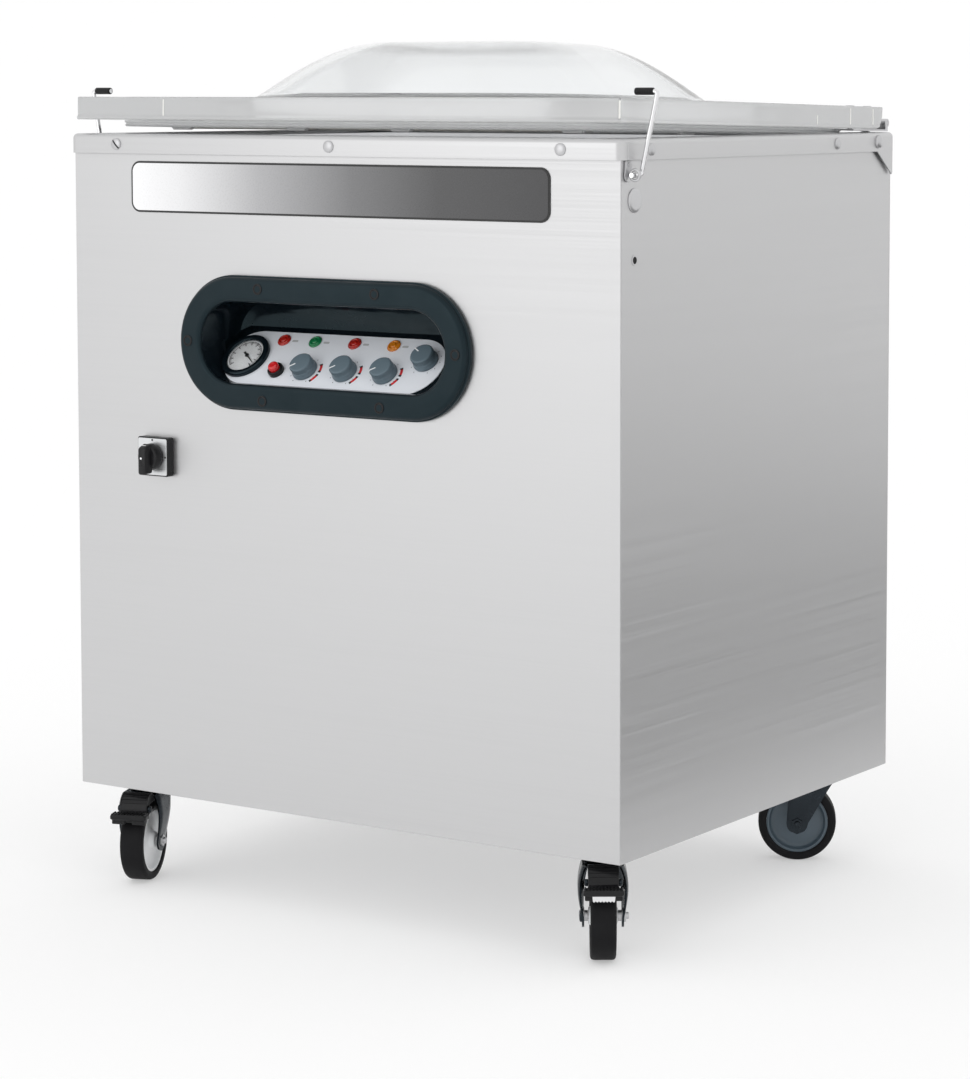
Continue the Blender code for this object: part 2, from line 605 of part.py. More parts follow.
# ---------------------------------------------------------------- latches
def latches(root):
    """Wire hooks that stand beside the lid and swing in over it or hang outwards."""
    for side, sign in (("left", -1), ("right", 1)):
        ring = empty(f"latch_pivot_{side}", root, (sign * EYE_X, EYE_Y[side], EYE_Z))
        pad = -sign * (EYE_X - HALF_W - GAP)
        x0, x1 = sorted((pad, pad + sign * 0.0030))
        bm = block(bmesh.new(), (x0, -0.007, -0.010), (x1, 0.007, 0.0155), 0.0008)
        eye = add("latch_eye_" + side, bm, STEEL, ring)
        loop = bmesh.new()
        across = Matrix.Rotation(math.radians(90), 4, "X")
        rim = [(0.0085, -0.0020), (0.0085, 0.0020), (0.0046, 0.0020), (0.0046, -0.0020)]
        lathe(loop, rim, 20, across)
        combine(eye, loop, "UNION", "loop")

        wire = bpy.data.curves.new("latch_wire_" + side, "CURVE")
        wire.dimensions = "3D"
        wire.bevel_depth = WIRE_R
        wire.bevel_resolution = 2
        wire.use_fill_caps = True
        bend = 0.004
        start = Vector((0, -0.008, 0))
        turn = Vector((0, HOOK_SETBACK - 0.003, 0))
        knee = Vector((sign * HOOK_LEAN, HOOK_SETBACK, HOOK_RISE))
        end = Vector((sign * (HOOK_LEAN - GRIP_LEN), HOOK_SETBACK, HOOK_RISE))
        points = [start]
        for before, at, after in ((start, turn, knee), (turn, knee, end)):
            entry = at + (before - at).normalized() * bend
            leave = at + (after - at).normalized() * bend
            for i in range(5):
                t = i / 4
                points.append(entry.lerp(at, t).lerp(at.lerp(leave, t), t))
        points.append(end)
        spline = wire.splines.new("POLY")
        spline.points.add(len(points) - 1)
        for slot, point in zip(spline.points, points):
            slot.co = (*point, 1)
        look = ("zinc_wire", (0.75, 0.75, 0.75), 0.3, 1.0)
        wire.materials.append(material("latch_wire_" + side, *look[1:]))
        hook = bpy.data.objects.new("latch_wire_" + side, wire)
        bpy.context.collection.objects.link(hook)
        hook.parent = ring

        bore = WIRE_R + GAP
        length = GRIP_LEN - bend - 0.002
        sleeve = [(0.0038, 0), (0.0042, 0.001), (0.0042, length - 0.001)]
        sleeve += [(0.0038, length), (bore, length), (bore, 0)]
        start = knee + Vector((-sign * (bend + 0.001), 0, 0))
        bm = lathe(bmesh.new(), sleeve, 16, along(start, end))
        add("latch_grip_" + side, bm, ("grip_rubber", (0.02, 0.02, 0.02), 0.6, 0.0), ring)


# ---------------------------------------------------------------- casters
def caster(root, name, x, y, angle, braked):
    mount = empty("swivel_" + name, root, (x, y, 0), (0, 0, math.radians(angle)))
    base = empty("base_" + name, root, (x, y, 0))
    top = CASTER_H - GAP
    dark = ("zinc_steel", (0.30, 0.31, 0.33), 0.4, 0.9)
    square = rounded(-0.042, 0.042, -0.042, 0.042, 0.006, 2)
    bm = loft(bmesh.new(), [flat(square, top - z) for z in (0.0025, 0)])
    plate = add("caster_plate_" + name, bm, dark, base)
    race = [(0, -0.0095), (0.024, -0.0095), (0.029, -0.007), (0.029, -0.002), (0, -0.002)]
    combine(plate, lathe(bmesh.new(), race, 24, Matrix.Translation((0, 0, top))), "UNION", "race")

    side = FORK_INNER + FORK_SHEET
    crown_top = top - 0.0098
    bm = bmesh.new()
    leg_top = 0.028 if braked else 0.024
    nose = 0.047 if braked else 0.036
    outline = [(leg_top, crown_top), (-nose, crown_top), (-nose - 0.003, crown_top - 0.008)]
    for i in range(7):
        turn = math.radians(180 + 30 * i)
        outline.append((-TRAIL + 0.014 * math.cos(turn), WHEEL_R + 0.014 * math.sin(turn)))
    outline.append((leg_top, crown_top - 0.018))
    prism(bm, outline, -side, side)
    fork = add("caster_fork_" + name, bm, dark, mount)
    slot = block(bmesh.new(), (-FORK_INNER, -0.2, -0.05), (FORK_INNER, 0.2, CROWN_Z))
    combine(fork, slot, "DIFFERENCE", "slot")
    if braked:
        notch = block(bmesh.new(), (-FORK_INNER, -0.2, CROWN_Z - 0.01), (FORK_INNER, -TRAIL + 0.001, 0.2))
        combine(fork, notch, "DIFFERENCE", "pedal_notch")
    axle = rod(bmesh.new(), (-side - 0.005, -TRAIL, WHEEL_R), (side + 0.005, -TRAIL, WHEEL_R), AXLE_R)
    combine(fork, axle, "UNION", "axle")

    spin = empty("axle_" + name, mount, (0, -TRAIL, WHEEL_R), (0, math.radians(90), 0))
    hub = [(AXLE_R + 0.0002, 0.017), (0.010, 0.017), (0.012, 0.004), (0.033, 0.003), (0.035, 0.0135)]
    hub += [(RIM_R, 0.0135)]
    profile = hub + [(r, -z) for r, z in reversed(hub)]
    look = ("hub_grey", (0.45, 0.47, 0.50), 0.4, 0.2)
    add("caster_wheel_" + name, lathe(bmesh.new(), profile, 28), look, spin)
    steps = 40
    tread = WHEEL_R / math.cos(math.pi / steps)
    half = [(RIM_R + 0.0005, TYRE_HALF - 0.001), (0.0450, TYRE_HALF)]
    half += [(0.0485, TYRE_HALF - 0.001), (tread, TYRE_HALF - 0.004)]
    profile = half + [(r, -z) for r, z in reversed(half)]
    bm = lathe(bmesh.new(), profile, steps, turn=math.pi / steps)
    add("caster_tyre_" + name, bm, ("tyre_rubber", (0.03, 0.03, 0.032), 0.6, 0.0), spin)

    if braked:
        hinge = empty("pedal_" + name, mount, (0, -PEDAL_REACH, 0.1045))
        tread_line = [(0.004, 0.004), (-0.012, 0.0085), (-0.030, 0.003), (-0.040, -0.010), (-0.052, -0.014)]
        under = [(-0.052, -0.019), (-0.040, -0.016), (-0.026, -0.005), (-0.012, 0.0005), (0.004, -0.003)]
        wide = FORK_INNER - 0.001
        pedal = add(
            "brake_pedal_" + name,
            prism(bmesh.new(), tread_line + under, -wide, wide),
            ("pedal_plastic", (0.03, 0.03, 0.035), 0.5, 0.0),
            hinge,
        )
        shoe = block(bmesh.new(), (-0.024, -0.051, -0.0185), (0.024, -0.034, -0.009), 0.001)
        combine(pedal, shoe, "UNION", "shoe")


# ---------------------------------------------------------------- the machine
PANEL_TOP = DECK_Z - FLANGE_DROP - SHEET - 2 * GAP
BAR_Y = -HALF_D + 0.092


def build():
    clear_scene()
    root = empty("machine", None, (0, CABINET_Y, 0))
    base_tray(root)
    front_panel(root)
    side_panels(root)
    rear_panel(root)
    top_cover(root)
    chamber_tub(root)
    filler_plate(root)
    nameplate(root)
    hinge_brackets(root)
    power_inlet(root)
    internals(root)
    lid_parts(root)
    sealing_bar(root)
    control_bezel(root)
    control_panel(root)
    main_switch(root)
    latches(root)
    for entry in CASTERS:
        caster(root, *entry)


build()
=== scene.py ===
"""Looks of the chamber vacuum packing machine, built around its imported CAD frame.

Units are metres, +Z is up and the front faces -Y. Places come from the frame's boxes and joints.
"""

import json
import math
import random

import bmesh
import bpy
from mathutils import Matrix, Vector


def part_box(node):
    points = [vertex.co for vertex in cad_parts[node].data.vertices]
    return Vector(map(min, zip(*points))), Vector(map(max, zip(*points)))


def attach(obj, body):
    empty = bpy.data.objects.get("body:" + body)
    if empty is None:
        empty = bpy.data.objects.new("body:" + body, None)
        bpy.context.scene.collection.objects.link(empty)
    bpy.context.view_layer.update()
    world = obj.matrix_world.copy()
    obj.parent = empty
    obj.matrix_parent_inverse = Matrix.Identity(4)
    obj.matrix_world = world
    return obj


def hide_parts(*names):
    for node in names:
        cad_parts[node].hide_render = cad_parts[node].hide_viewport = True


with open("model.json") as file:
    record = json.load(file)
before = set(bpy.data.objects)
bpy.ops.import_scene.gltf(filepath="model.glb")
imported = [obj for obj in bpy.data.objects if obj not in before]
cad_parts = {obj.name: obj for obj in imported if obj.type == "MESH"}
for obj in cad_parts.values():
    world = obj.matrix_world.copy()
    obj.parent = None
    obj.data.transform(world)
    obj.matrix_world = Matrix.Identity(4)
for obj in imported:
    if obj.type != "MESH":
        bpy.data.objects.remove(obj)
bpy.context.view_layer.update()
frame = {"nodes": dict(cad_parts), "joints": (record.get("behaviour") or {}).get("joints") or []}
JOINTS = {joint["name"]: joint for joint in frame["joints"]}
X, Y, Z = Vector((1, 0, 0)), Vector((0, 1, 0)), Vector((0, 0, 1))
SHEET = 0.0015
FILM = 0.00015  # printed ink, and the smallest step between two faces
CASTER_NAMES = ("front_left", "front_right", "rear_left", "rear_right")


# ---------------------------------------------------------------- geometry helpers
def rounded(x0, x1, y0, y1, radius, steps=8):
    """Outline of a rectangle with round corners, anticlockwise, as 2-D points."""
    points = []
    corners = ((x1, y1, 0), (x0, y1, 90), (x0, y0, 180), (x1, y0, 270))
    for x, y, start in corners:
        cx = x - math.copysign(radius, x - (x0 + x1) / 2)
        cy = y - math.copysign(radius, y - (y0 + y1) / 2)
        for i in range(steps + 1):
            angle = math.radians(start + 90 * i / steps)
            points.append((cx + radius * math.cos(angle), cy + radius * math.sin(angle)))
    return points


def flat(points, z):
    return [Vector((x, y, z)) for x, y in points]


def upright(points, y):
    return [Vector((x, y, z)) for x, z in points]


def loft(bm, rings, caps=True):
    """Skin rings of equal length. Without caps, the last ring joins the first."""
    rows = [[bm.verts.new(point) for point in ring] for ring in rings]
    count = len(rows[0])
    pairs = list(zip(rows, rows[1:]))
    if not caps:
        pairs.append((rows[-1], rows[0]))
    for low, high in pairs:
        for i in range(count):
            j = (i + 1) % count
            bm.faces.new((low[i], low[j], high[j], high[i]))
    if caps:
        bm.faces.new(list(reversed(rows[0])))
        bm.faces.new(rows[-1])
    return bm


def lathe(bm, profile, steps=48, matrix=None, turn=0.0):
    """Turn (radius, height) points about Z. A profile that starts off the axis is a ring."""
    solid = profile[0][0] == 0
    outer = profile[1:-1] if solid else profile
    rings = []
    for radius, height in outer:
        ring = []
        for i in range(steps):
            angle = math.tau * i / steps + turn
            ring.append(Vector((radius * math.cos(angle), radius * math.sin(angle), height)))
        rings.append(ring)
    if matrix is not None:
        rings = [[matrix @ point for point in ring] for ring in rings]
    return loft(bm, rings, caps=solid)


def block(bm, low, high, matrix=None):
    size = [b - a for a, b in zip(low, high)]
    middle = [(a + b) / 2 for a, b in zip(low, high)]
    place = Matrix.Translation(middle) @ Matrix.Diagonal((*size, 1))
    if matrix is not None:
        place = matrix @ place
    bmesh.ops.create_cube(bm, size=1, matrix=place)
    return bm


def prism(bm, outline, x0, x1):
    """A (y, z) outline given a thickness along X."""
    return loft(bm, [[Vector((x, y, z)) for y, z in outline] for x in (x0, x1)])


def arc(cx, cy, radius, start, end, steps):
    """Points along an arc, in degrees."""
    angles = [math.radians(start + (end - start) * i / steps) for i in range(steps + 1)]
    return [(cx + radius * math.cos(a), cy + radius * math.sin(a)) for a in angles]


def fillet(profile, radius, steps=3):
    """Round the inner corners of an open (radius, height) profile."""
    if len(profile) < 3:
        return profile
    out = [profile[0]]
    for before, at, after in zip(profile, profile[1:], profile[2:]):
        at_v = Vector(at)
        to_before, to_after = Vector(before) - at_v, Vector(after) - at_v
        reach = min(radius, to_before.length * 0.45, to_after.length * 0.45)
        entry = at_v + to_before.normalized() * reach
        leave = at_v + to_after.normalized() * reach
        for i in range(steps + 1):
            t = i / steps
            out.append(tuple(entry.lerp(at_v, t).lerp(at_v.lerp(leave, t), t)))
    out.append(profile[-1])
    return out


def axes(origin, z_dir, x_dir=X):
    """Matrix at origin with Z along z_dir and X as near x_dir as it can be."""
    z_axis = Vector(z_dir).normalized()
    x_axis = (Vector(x_dir) - z_axis * z_axis.dot(Vector(x_dir))).normalized()
    y_axis = z_axis.cross(x_axis)
    turn = Matrix((x_axis, y_axis, z_axis)).transposed()
    return Matrix.Translation(origin) @ turn.to_4x4()


def piece(name, bm, look, body, slot, replaces=(), matrix=None, smooth=35, bevel=0.0, segments=2):
    """Finish a bmesh as a named piece that rides on a body."""
    bmesh.ops.remove_doubles(bm, verts=bm.verts, dist=1e-6)
    bmesh.ops.recalc_face_normals(bm, faces=bm.faces)
    mesh = bpy.data.meshes.new(name)
    bm.to_mesh(mesh)
    bm.free()
    return dress(name, mesh, look, body, replaces, matrix, smooth, bevel, segments)


def turned(name, profile, steps, look, body, slot, replaces=(), **finish):
    """A piece turned from one profile."""
    return piece(name, lathe(bmesh.new(), profile, steps), look, body, slot, replaces, **finish)


def dress(name, mesh, look, body, replaces=(), matrix=None, smooth=35, bevel=0.0, segments=2):
    obj = bpy.data.objects.new(name, mesh)
    bpy.context.collection.objects.link(obj)
    if matrix is not None:
        obj.matrix_world = matrix
    mesh.shade_smooth()
    mesh.set_sharp_from_angle(angle=math.radians(smooth))
    if not mesh.materials:
        mesh.materials.append(look)
    if bevel:
        soften(obj, bevel, segments)
    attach(obj, body)
    if replaces:
        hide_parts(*replaces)
    return obj


def soften(obj, width, segments=2, weld=False):
    """Round the sharp edges with a modifier."""
    if weld:
        step = obj.modifiers.new("weld", "WELD")
        step.merge_threshold = 1e-5
    step = obj.modifiers.new("bevel", "BEVEL")
    step.width = width
    step.segments = segments
    step.limit_method = "ANGLE"
    step.angle_limit = math.radians(40)
    step.use_clamp_overlap = True
    step.harden_normals = True


def boolean(obj, bm, operation="DIFFERENCE"):
    """Cut or join a bmesh, given in obj's own space, and keep the result as a plain mesh."""
    bmesh.ops.recalc_face_normals(bm, faces=bm.faces)
    mesh = bpy.data.meshes.new("tool")
    bm.to_mesh(mesh)
    bm.free()
    tool = bpy.data.objects.new("tool", mesh)
    bpy.context.collection.objects.link(tool)
    tool.matrix_world = obj.matrix_world
    step = obj.modifiers.new("cut", "BOOLEAN")
    step.operation = operation
    step.solver = "EXACT"
    step.object = tool
    bpy.context.view_layer.update()
    view = obj.evaluated_get(bpy.context.evaluated_depsgraph_get())
    result = bpy.data.meshes.new_from_object(view)
    obj.modifiers.remove(step)
    obj.data = result
    bpy.data.objects.remove(tool)
    result.shade_smooth()
    result.set_sharp_from_angle(angle=math.radians(35))


# ---------------------------------------------------------------- materials
def shader(name, colour, roughness, metallic=0.0, **inputs):
    mat = bpy.data.materials.new(name)
    mat.use_nodes = True
    node = mat.node_tree.nodes["Principled BSDF"]
    node.inputs["Base Color"].default_value = (*colour, 1.0)
    node.inputs["Roughness"].default_value = roughness
    node.inputs["Metallic"].default_value = metallic
    for label, value in inputs.items():
        node.inputs[label.replace("_", " ")].default_value = value
    return mat


def texture(mat, kind, scale, stretch=(1, 1, 1), **settings):
    """A texture node on the object's own coordinates, stretched along its axes."""
    tree = mat.node_tree
    where = tree.nodes.new("ShaderNodeTexCoord")
    mapping = tree.nodes.new("ShaderNodeMapping")
    mapping.inputs["Scale"].default_value = stretch
    node = tree.nodes.new(kind)
    node.inputs["Scale"].default_value = scale
    for label, value in settings.items():
        node.inputs[label].default_value = value
    tree.links.new(where.outputs["Object"], mapping.inputs["Vector"])
    tree.links.new(mapping.outputs["Vector"], node.inputs["Vector"])
    return node


def ramp(mat, source, stops):
    """Colour ramp from (position, colour) stops."""
    node = mat.node_tree.nodes.new("ShaderNodeValToRGB")
    node.color_ramp.elements[0].position = stops[0][0]
    node.color_ramp.elements[0].color = (*stops[0][1], 1)
    node.color_ramp.elements[1].position = stops[-1][0]
    node.color_ramp.elements[1].color = (*stops[-1][1], 1)
    for position, colour in stops[1:-1]:
        node.color_ramp.elements.new(position).color = (*colour, 1)
    mat.node_tree.links.new(source, node.inputs["Fac"])
    return node


def vary_colour(mat, colour_a, colour_b, scale, stretch=(1, 1, 1), detail=4.0):
    noise = texture(mat, "ShaderNodeTexNoise", scale, stretch, Detail=detail)
    mixed = ramp(mat, noise.outputs["Fac"], ((0.3, colour_a), (0.7, colour_b)))
    shader_node = mat.node_tree.nodes["Principled BSDF"]
    mat.node_tree.links.new(mixed.outputs["Color"], shader_node.inputs["Base Color"])


def vary_roughness(mat, low, high, scale, stretch=(1, 1, 1), detail=4.0):
    noise = texture(mat, "ShaderNodeTexNoise", scale, stretch, Detail=detail)
    spread = mat.node_tree.nodes.new("ShaderNodeMapRange")
    spread.inputs["From Min"].default_value = 0.3
    spread.inputs["From Max"].default_value = 0.7
    spread.inputs["To Min"].default_value = low
    spread.inputs["To Max"].default_value = high
    shader_node = mat.node_tree.nodes["Principled BSDF"]
    mat.node_tree.links.new(noise.outputs["Fac"], spread.inputs["Value"])
    mat.node_tree.links.new(spread.outputs["Result"], shader_node.inputs["Roughness"])


def bump(mat, scale, distance, stretch=(1, 1, 1), kind="ShaderNodeTexNoise", strength=1.0):
    """Surface relief of the given height. A second call sits on top of the first."""
    tree = mat.node_tree
    source = texture(mat, kind, scale, stretch)
    node = tree.nodes.new("ShaderNodeBump")
    node.inputs["Strength"].default_value = strength
    node.inputs["Distance"].default_value = distance
    out = source.outputs["Fac"] if "Fac" in source.outputs else source.outputs["Distance"]
    tree.links.new(out, node.inputs["Height"])
    normal = tree.nodes["Principled BSDF"].inputs["Normal"]
    if normal.is_linked:
        tree.links.new(normal.links[0].from_socket, node.inputs["Normal"])
    tree.links.new(node.outputs["Normal"], normal)


def brushed(name, grain, colour=(0.60, 0.60, 0.605), rough=(0.34, 0.46)):
    """Satin steel whose fine lines run along the axes that grain leaves unstretched."""
    mat = shader(name, colour, 0.4, 1.0)
    dark = tuple(c * 0.965 for c in colour)
    vary_colour(mat, dark, colour, 1.0, grain, 6.0)
    vary_roughness(mat, rough[0], rough[1], 1.0, grain, 5.0)
    bump(mat, 1.0, 0.00003, grain, strength=0.22)
    return mat


def moulded(name, colour, roughness, grain=900.0, height=0.00006, **inputs):
    """Injection-moulded plastic or rubber with a fine surface grain."""
    mat = shader(name, colour, roughness, **inputs)
    lighter = tuple(min(1.0, c * 1.06 + 0.003) for c in colour)
    vary_colour(mat, colour, lighter, 35.0)
    vary_roughness(mat, max(0.02, roughness - 0.06), roughness + 0.08, 60.0)
    bump(mat, grain, height, strength=0.5)
    return mat


SOFT_GLOSS = {"Specular_IOR_Level": 0.28}
STEEL_X = brushed("satin_steel_lines_across", (2, 2, 650))
STEEL_DECK = brushed("satin_steel_deck", (2, 500, 500))
STEEL_SMALL = brushed("satin_steel_small_parts", (60, 60, 900), (0.58, 0.58, 0.59), (0.28, 0.40))
STEEL_TUB = brushed("satin_steel_chamber", (30, 30, 300), (0.62, 0.62, 0.63), (0.30, 0.42))
SCREW_STEEL = brushed("screw_steel", (300, 300, 300), (0.55, 0.55, 0.56), (0.28, 0.40))
BLUISH = {"Specular_Tint": (0.62, 0.90, 1.0, 1.0)}
BLACK_MOULDING = moulded("black_moulding", (0.003, 0.007, 0.010), 0.36, 1400, 0.00005, **SOFT_GLOSS, **BLUISH)
BLACK_GLOSS = moulded("black_recess_wall", (0.003, 0.006, 0.009), 0.14, 500, 0.00002, **SOFT_GLOSS, **BLUISH)
BLACK_PLASTIC = moulded("black_plastic", (0.006, 0.006, 0.007), 0.32, **SOFT_GLOSS)
KNOB_GREY = moulded("blue_grey_knob", (0.115, 0.160, 0.190), 0.36, 1200, 0.00004, **SOFT_GLOSS)
SILVER = shader("silver_fascia_film", (0.84, 0.87, 0.92), 0.34, 0.0)
vary_roughness(SILVER, 0.30, 0.40, 400.0)
bump(SILVER, 1800.0, 0.00002, strength=0.3)
RUBBER = moulded("tyre_rubber", (0.006, 0.006, 0.007), 0.58, 700, 0.00012, Specular_IOR_Level=0.14)
GRIP = moulded("grip_sleeve", (0.006, 0.006, 0.007), 0.45, 900, 0.00006, **SOFT_GLOSS)
SEAL = moulded("grey_silicone", (0.78, 0.785, 0.79), 0.55, 600, 0.00005)
WHITE_SILICONE = moulded("white_silicone", (0.78, 0.78, 0.75), 0.5, 600, 0.00005)
BOARD = moulded("polyethylene_board", (0.80, 0.80, 0.77), 0.5, 250, 0.00012)
ZINC = brushed("zinc_plate", (120, 120, 120), (0.42, 0.43, 0.45), (0.12, 0.24))
DARK_ZINC = brushed("dark_zinc_plate", (120, 120, 120), (0.030, 0.036, 0.042), (0.18, 0.30))
HUB_LIGHT = moulded("hub_light_grey", (0.80, 0.81, 0.82), 0.38, 500, 0.00005)
# Rear hubs: a dark blue-grey copy of the light grey hub colour, which is painted shade for hubs that sit in
# shadow.
HUB_SHADED_GREY = moulded("hub_grey_painted_shade", (0.075, 0.105, 0.13), 0.38, 500, 0.00005)
BRIGHT_WIRE = brushed("bright_wire", (200, 200, 200), (0.80, 0.80, 0.81), (0.12, 0.22))
ALUMINIUM = brushed("drawn_aluminium", (3, 500, 500), (0.72, 0.72, 0.73), (0.26, 0.38))
WHITE_PRINT = moulded("white_print", (0.86, 0.87, 0.88), 0.45, 900, 0.00001)
BLACK_PRINT = moulded("black_print", (0.012, 0.012, 0.012), 0.45, 900, 0.00001)
RED_PRINT = moulded("red_print", (0.62, 0.020, 0.030), 0.45, 900, 0.00001)
GREY_PRINT = moulded("grey_print", (0.48, 0.49, 0.50), 0.45, 900, 0.00001)
SLOT_SHADE = moulded("slot_shade", (0.05, 0.05, 0.05), 0.7, 400, 0.00002)
HOLE_SHADE_DISC = moulded("hole_painted_shade", (0.004, 0.004, 0.004), 0.8, 400, 0.00002)
PUMP_PAINT = moulded("pump_paint", (0.045, 0.075, 0.11), 0.45, 260, 0.00020)
PCB = moulded("board_lacquer", (0.012, 0.12, 0.045), 0.30, 500, 0.00003)


def lens(name, colour):
    mat = shader(name, colour, 0.12, Coat_Weight=0.6, Coat_Roughness=0.05)
    dark = tuple(c * 0.55 for c in colour)
    vary_colour(mat, dark, colour, 260.0)
    bump(mat, 900.0, 0.00015, kind="ShaderNodeTexVoronoi", strength=0.5)
    return mat


def clear(name, tint, roughness, alpha):
    """Clear acrylic: transmissive, with faint handling marks in its gloss."""
    mat = shader(name, tint, roughness, IOR=1.49, Transmission_Weight=1.0, Alpha=alpha)
    vary_roughness(mat, roughness, roughness + 0.05, 9.0)
    return mat


# ---------------------------------------------------------------- cabinet
def centre(node):
    low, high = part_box(node)
    return (low + high) / 2


FRONT_LOW, FRONT_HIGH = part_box("front_panel")
REAR_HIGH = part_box("rear_panel")[1]
COVER_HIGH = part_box("top_cover")[1]
# These looks are drawn left of their solids, to match the photo's outline. The needle keeps to its own
# axis, so its hub stands DIAL_LEFT to the right of the dial's centre.
DIAL_LEFT = 0.0028
PANEL_LEFT = 0.0055
FACE_Y = FRONT_LOW.y
BACK_Y = REAR_HIGH.y
HALF_W = FRONT_HIGH.x
BASE_Z = FRONT_LOW.z
DECK_Z = COVER_HIGH.z
SKIRT_Z = DECK_Z - 0.024
MIDDLE_Y = (FACE_Y + BACK_Y) / 2


def give(node, look, bevel=0.0, segments=2):
    """Put a material, and a soft edge where asked, on a CAD node that stays."""
    obj = frame["nodes"][node]
    obj.data.materials.clear()
    obj.data.materials.append(look)
    if bevel:
        soften(obj, bevel, segments, weld=True)


def carried_over_nodes():
    for node in ("front_panel", "left_panel", "right_panel", "rear_panel"):
        give(node, STEEL_X, 0.0006)
    give("base_tray", STEEL_X, 0.0006)
    give("chamber_tub", STEEL_TUB)
    give("filler_plate", BOARD, 0.002)
    give("counter_bar", WHITE_SILICONE, 0.0008)
    give("sealing_bar", ALUMINIUM, 0.0008)
    give("vacuum_pump", PUMP_PAINT, 0.002)
    give("pump_motor", PUMP_PAINT, 0.002)
    give("control_board", PCB, 0.0005)
    for side in ("left", "right"):
        give("hinge_bracket_" + side, STEEL_SMALL, 0.0005)
        give("hinge_leaf_" + side, STEEL_SMALL, 0.0004)
        give("latch_eye_" + side, STEEL_SMALL, 0.0006)
    for name in CASTER_NAMES:
        give("caster_plate_" + name, ZINC, 0.0006)


def deck_outline(inset, radius, grow=0.0, steps=8):
    x = HALF_W - inset + grow
    return rounded(-x, x, FACE_Y + inset - grow, BACK_Y - inset - 0.012 + grow, radius, steps)


def top_cover():
    """Pressed steel cover with a rounded edge, rear tabs and a turned-down opening."""
    out = COVER_HIGH.x - HALF_W
    edge = 0.006

    def outside(shrink, z):
        x = HALF_W + out - shrink
        low, high = FACE_Y - out + shrink, BACK_Y + out - shrink
        return flat(rounded(-x, x, low, high, 0.010 - min(shrink, 0.006), 8), z)

    rings = [outside(0, SKIRT_Z), outside(0, DECK_Z - edge)]
    for i in range(1, 9):
        angle = math.radians(90 * i / 8)
        rings.append(outside(edge * (1 - math.cos(angle)), DECK_Z - edge * (1 - math.sin(angle))))
    rings.append(flat(deck_outline(0.0355, 0.030), DECK_Z))
    rings.append(flat(deck_outline(0.0344, 0.030), DECK_Z - 0.0005))
    rings.append(flat(deck_outline(0.034, 0.030), DECK_Z - 0.0015))
    rings.append(flat(deck_outline(0.034, 0.030), DECK_Z - 0.0046))
    rings.append(flat(deck_outline(0.034, 0.030, SHEET), DECK_Z - 0.0046))
    rings.append(flat(deck_outline(0.034, 0.030, SHEET), DECK_Z - SHEET))
    rings.append(outside(edge, DECK_Z - SHEET))
    rings.append(outside(SHEET, DECK_Z - edge))
    rings.append(outside(SHEET, SKIRT_Z))
    cover = piece("cover_pressing", loft(bmesh.new(), rings, caps=False), STEEL_DECK, "cabinet",
                  "stainless", ("top_cover",))
    reach = BACK_Y + out - 0.008
    tabs = bmesh.new()
    for sign in (-1, 1):
        x0, x1 = sorted((sign * (HALF_W + out), sign * (HALF_W + out - SHEET)))
        corner = arc(reach - 0.004, SKIRT_Z - 0.026, 0.004, 0, -60, 4)
        outline = [(reach - 0.046, SKIRT_Z + 0.004), (reach, SKIRT_Z + 0.004)] + corner
        prism(tabs, outline, x0, x1)
    boolean(cover, tabs, "UNION")


def screw_mesh(radius, height, look, slot=True):
    """Slotted pan-head screw, its underside on Z = 0."""
    name = f"screw_{round(radius * 1e4)}_{slot}"
    if name in bpy.data.meshes:
        return bpy.data.meshes[name]
    profile = [(0, 0), (radius, 0), (radius, height * 0.35)]
    profile += [(radius * math.cos(a), height * (0.35 + 0.65 * math.sin(a)))
                for a in (math.radians(d) for d in (20, 40, 60, 78))]
    profile.append((0, height))
    bm = lathe(bmesh.new(), profile, 32)
    bmesh.ops.recalc_face_normals(bm, faces=bm.faces)
    mesh = bpy.data.meshes.new(name)
    bm.to_mesh(mesh)
    bm.free()
    obj = bpy.data.objects.new(name, mesh)
    bpy.context.collection.objects.link(obj)
    if slot:
        cut = block(bmesh.new(), (-2 * radius, -radius * 0.15, height * 0.30), (2 * radius, radius * 0.15, 1))
        boolean(obj, cut)
    mesh = obj.data
    bpy.data.objects.remove(obj)
    mesh.name = name
    mesh.materials.clear()
    mesh.materials.append(look)
    mesh.materials.append(SLOT_SHADE)
    for face in mesh.polygons:
        floor_of_slot = abs(face.center.y) < radius * 0.14 and face.center.z < height * 0.35
        if slot and floor_of_slot and face.normal.z > 0.9:
            face.material_index = 1
    return mesh


def screw(name, at, out_dir, radius, height, angle, body="cabinet", look=None):
    matrix = axes(at, out_dir, Z if abs(Vector(out_dir).z) < 0.9 else X)
    matrix = matrix @ Matrix.Rotation(math.radians(angle), 4, "Z")
    mesh = screw_mesh(radius, height, look or SCREW_STEEL)
    return dress(name, mesh, SCREW_STEEL, body, matrix=matrix)


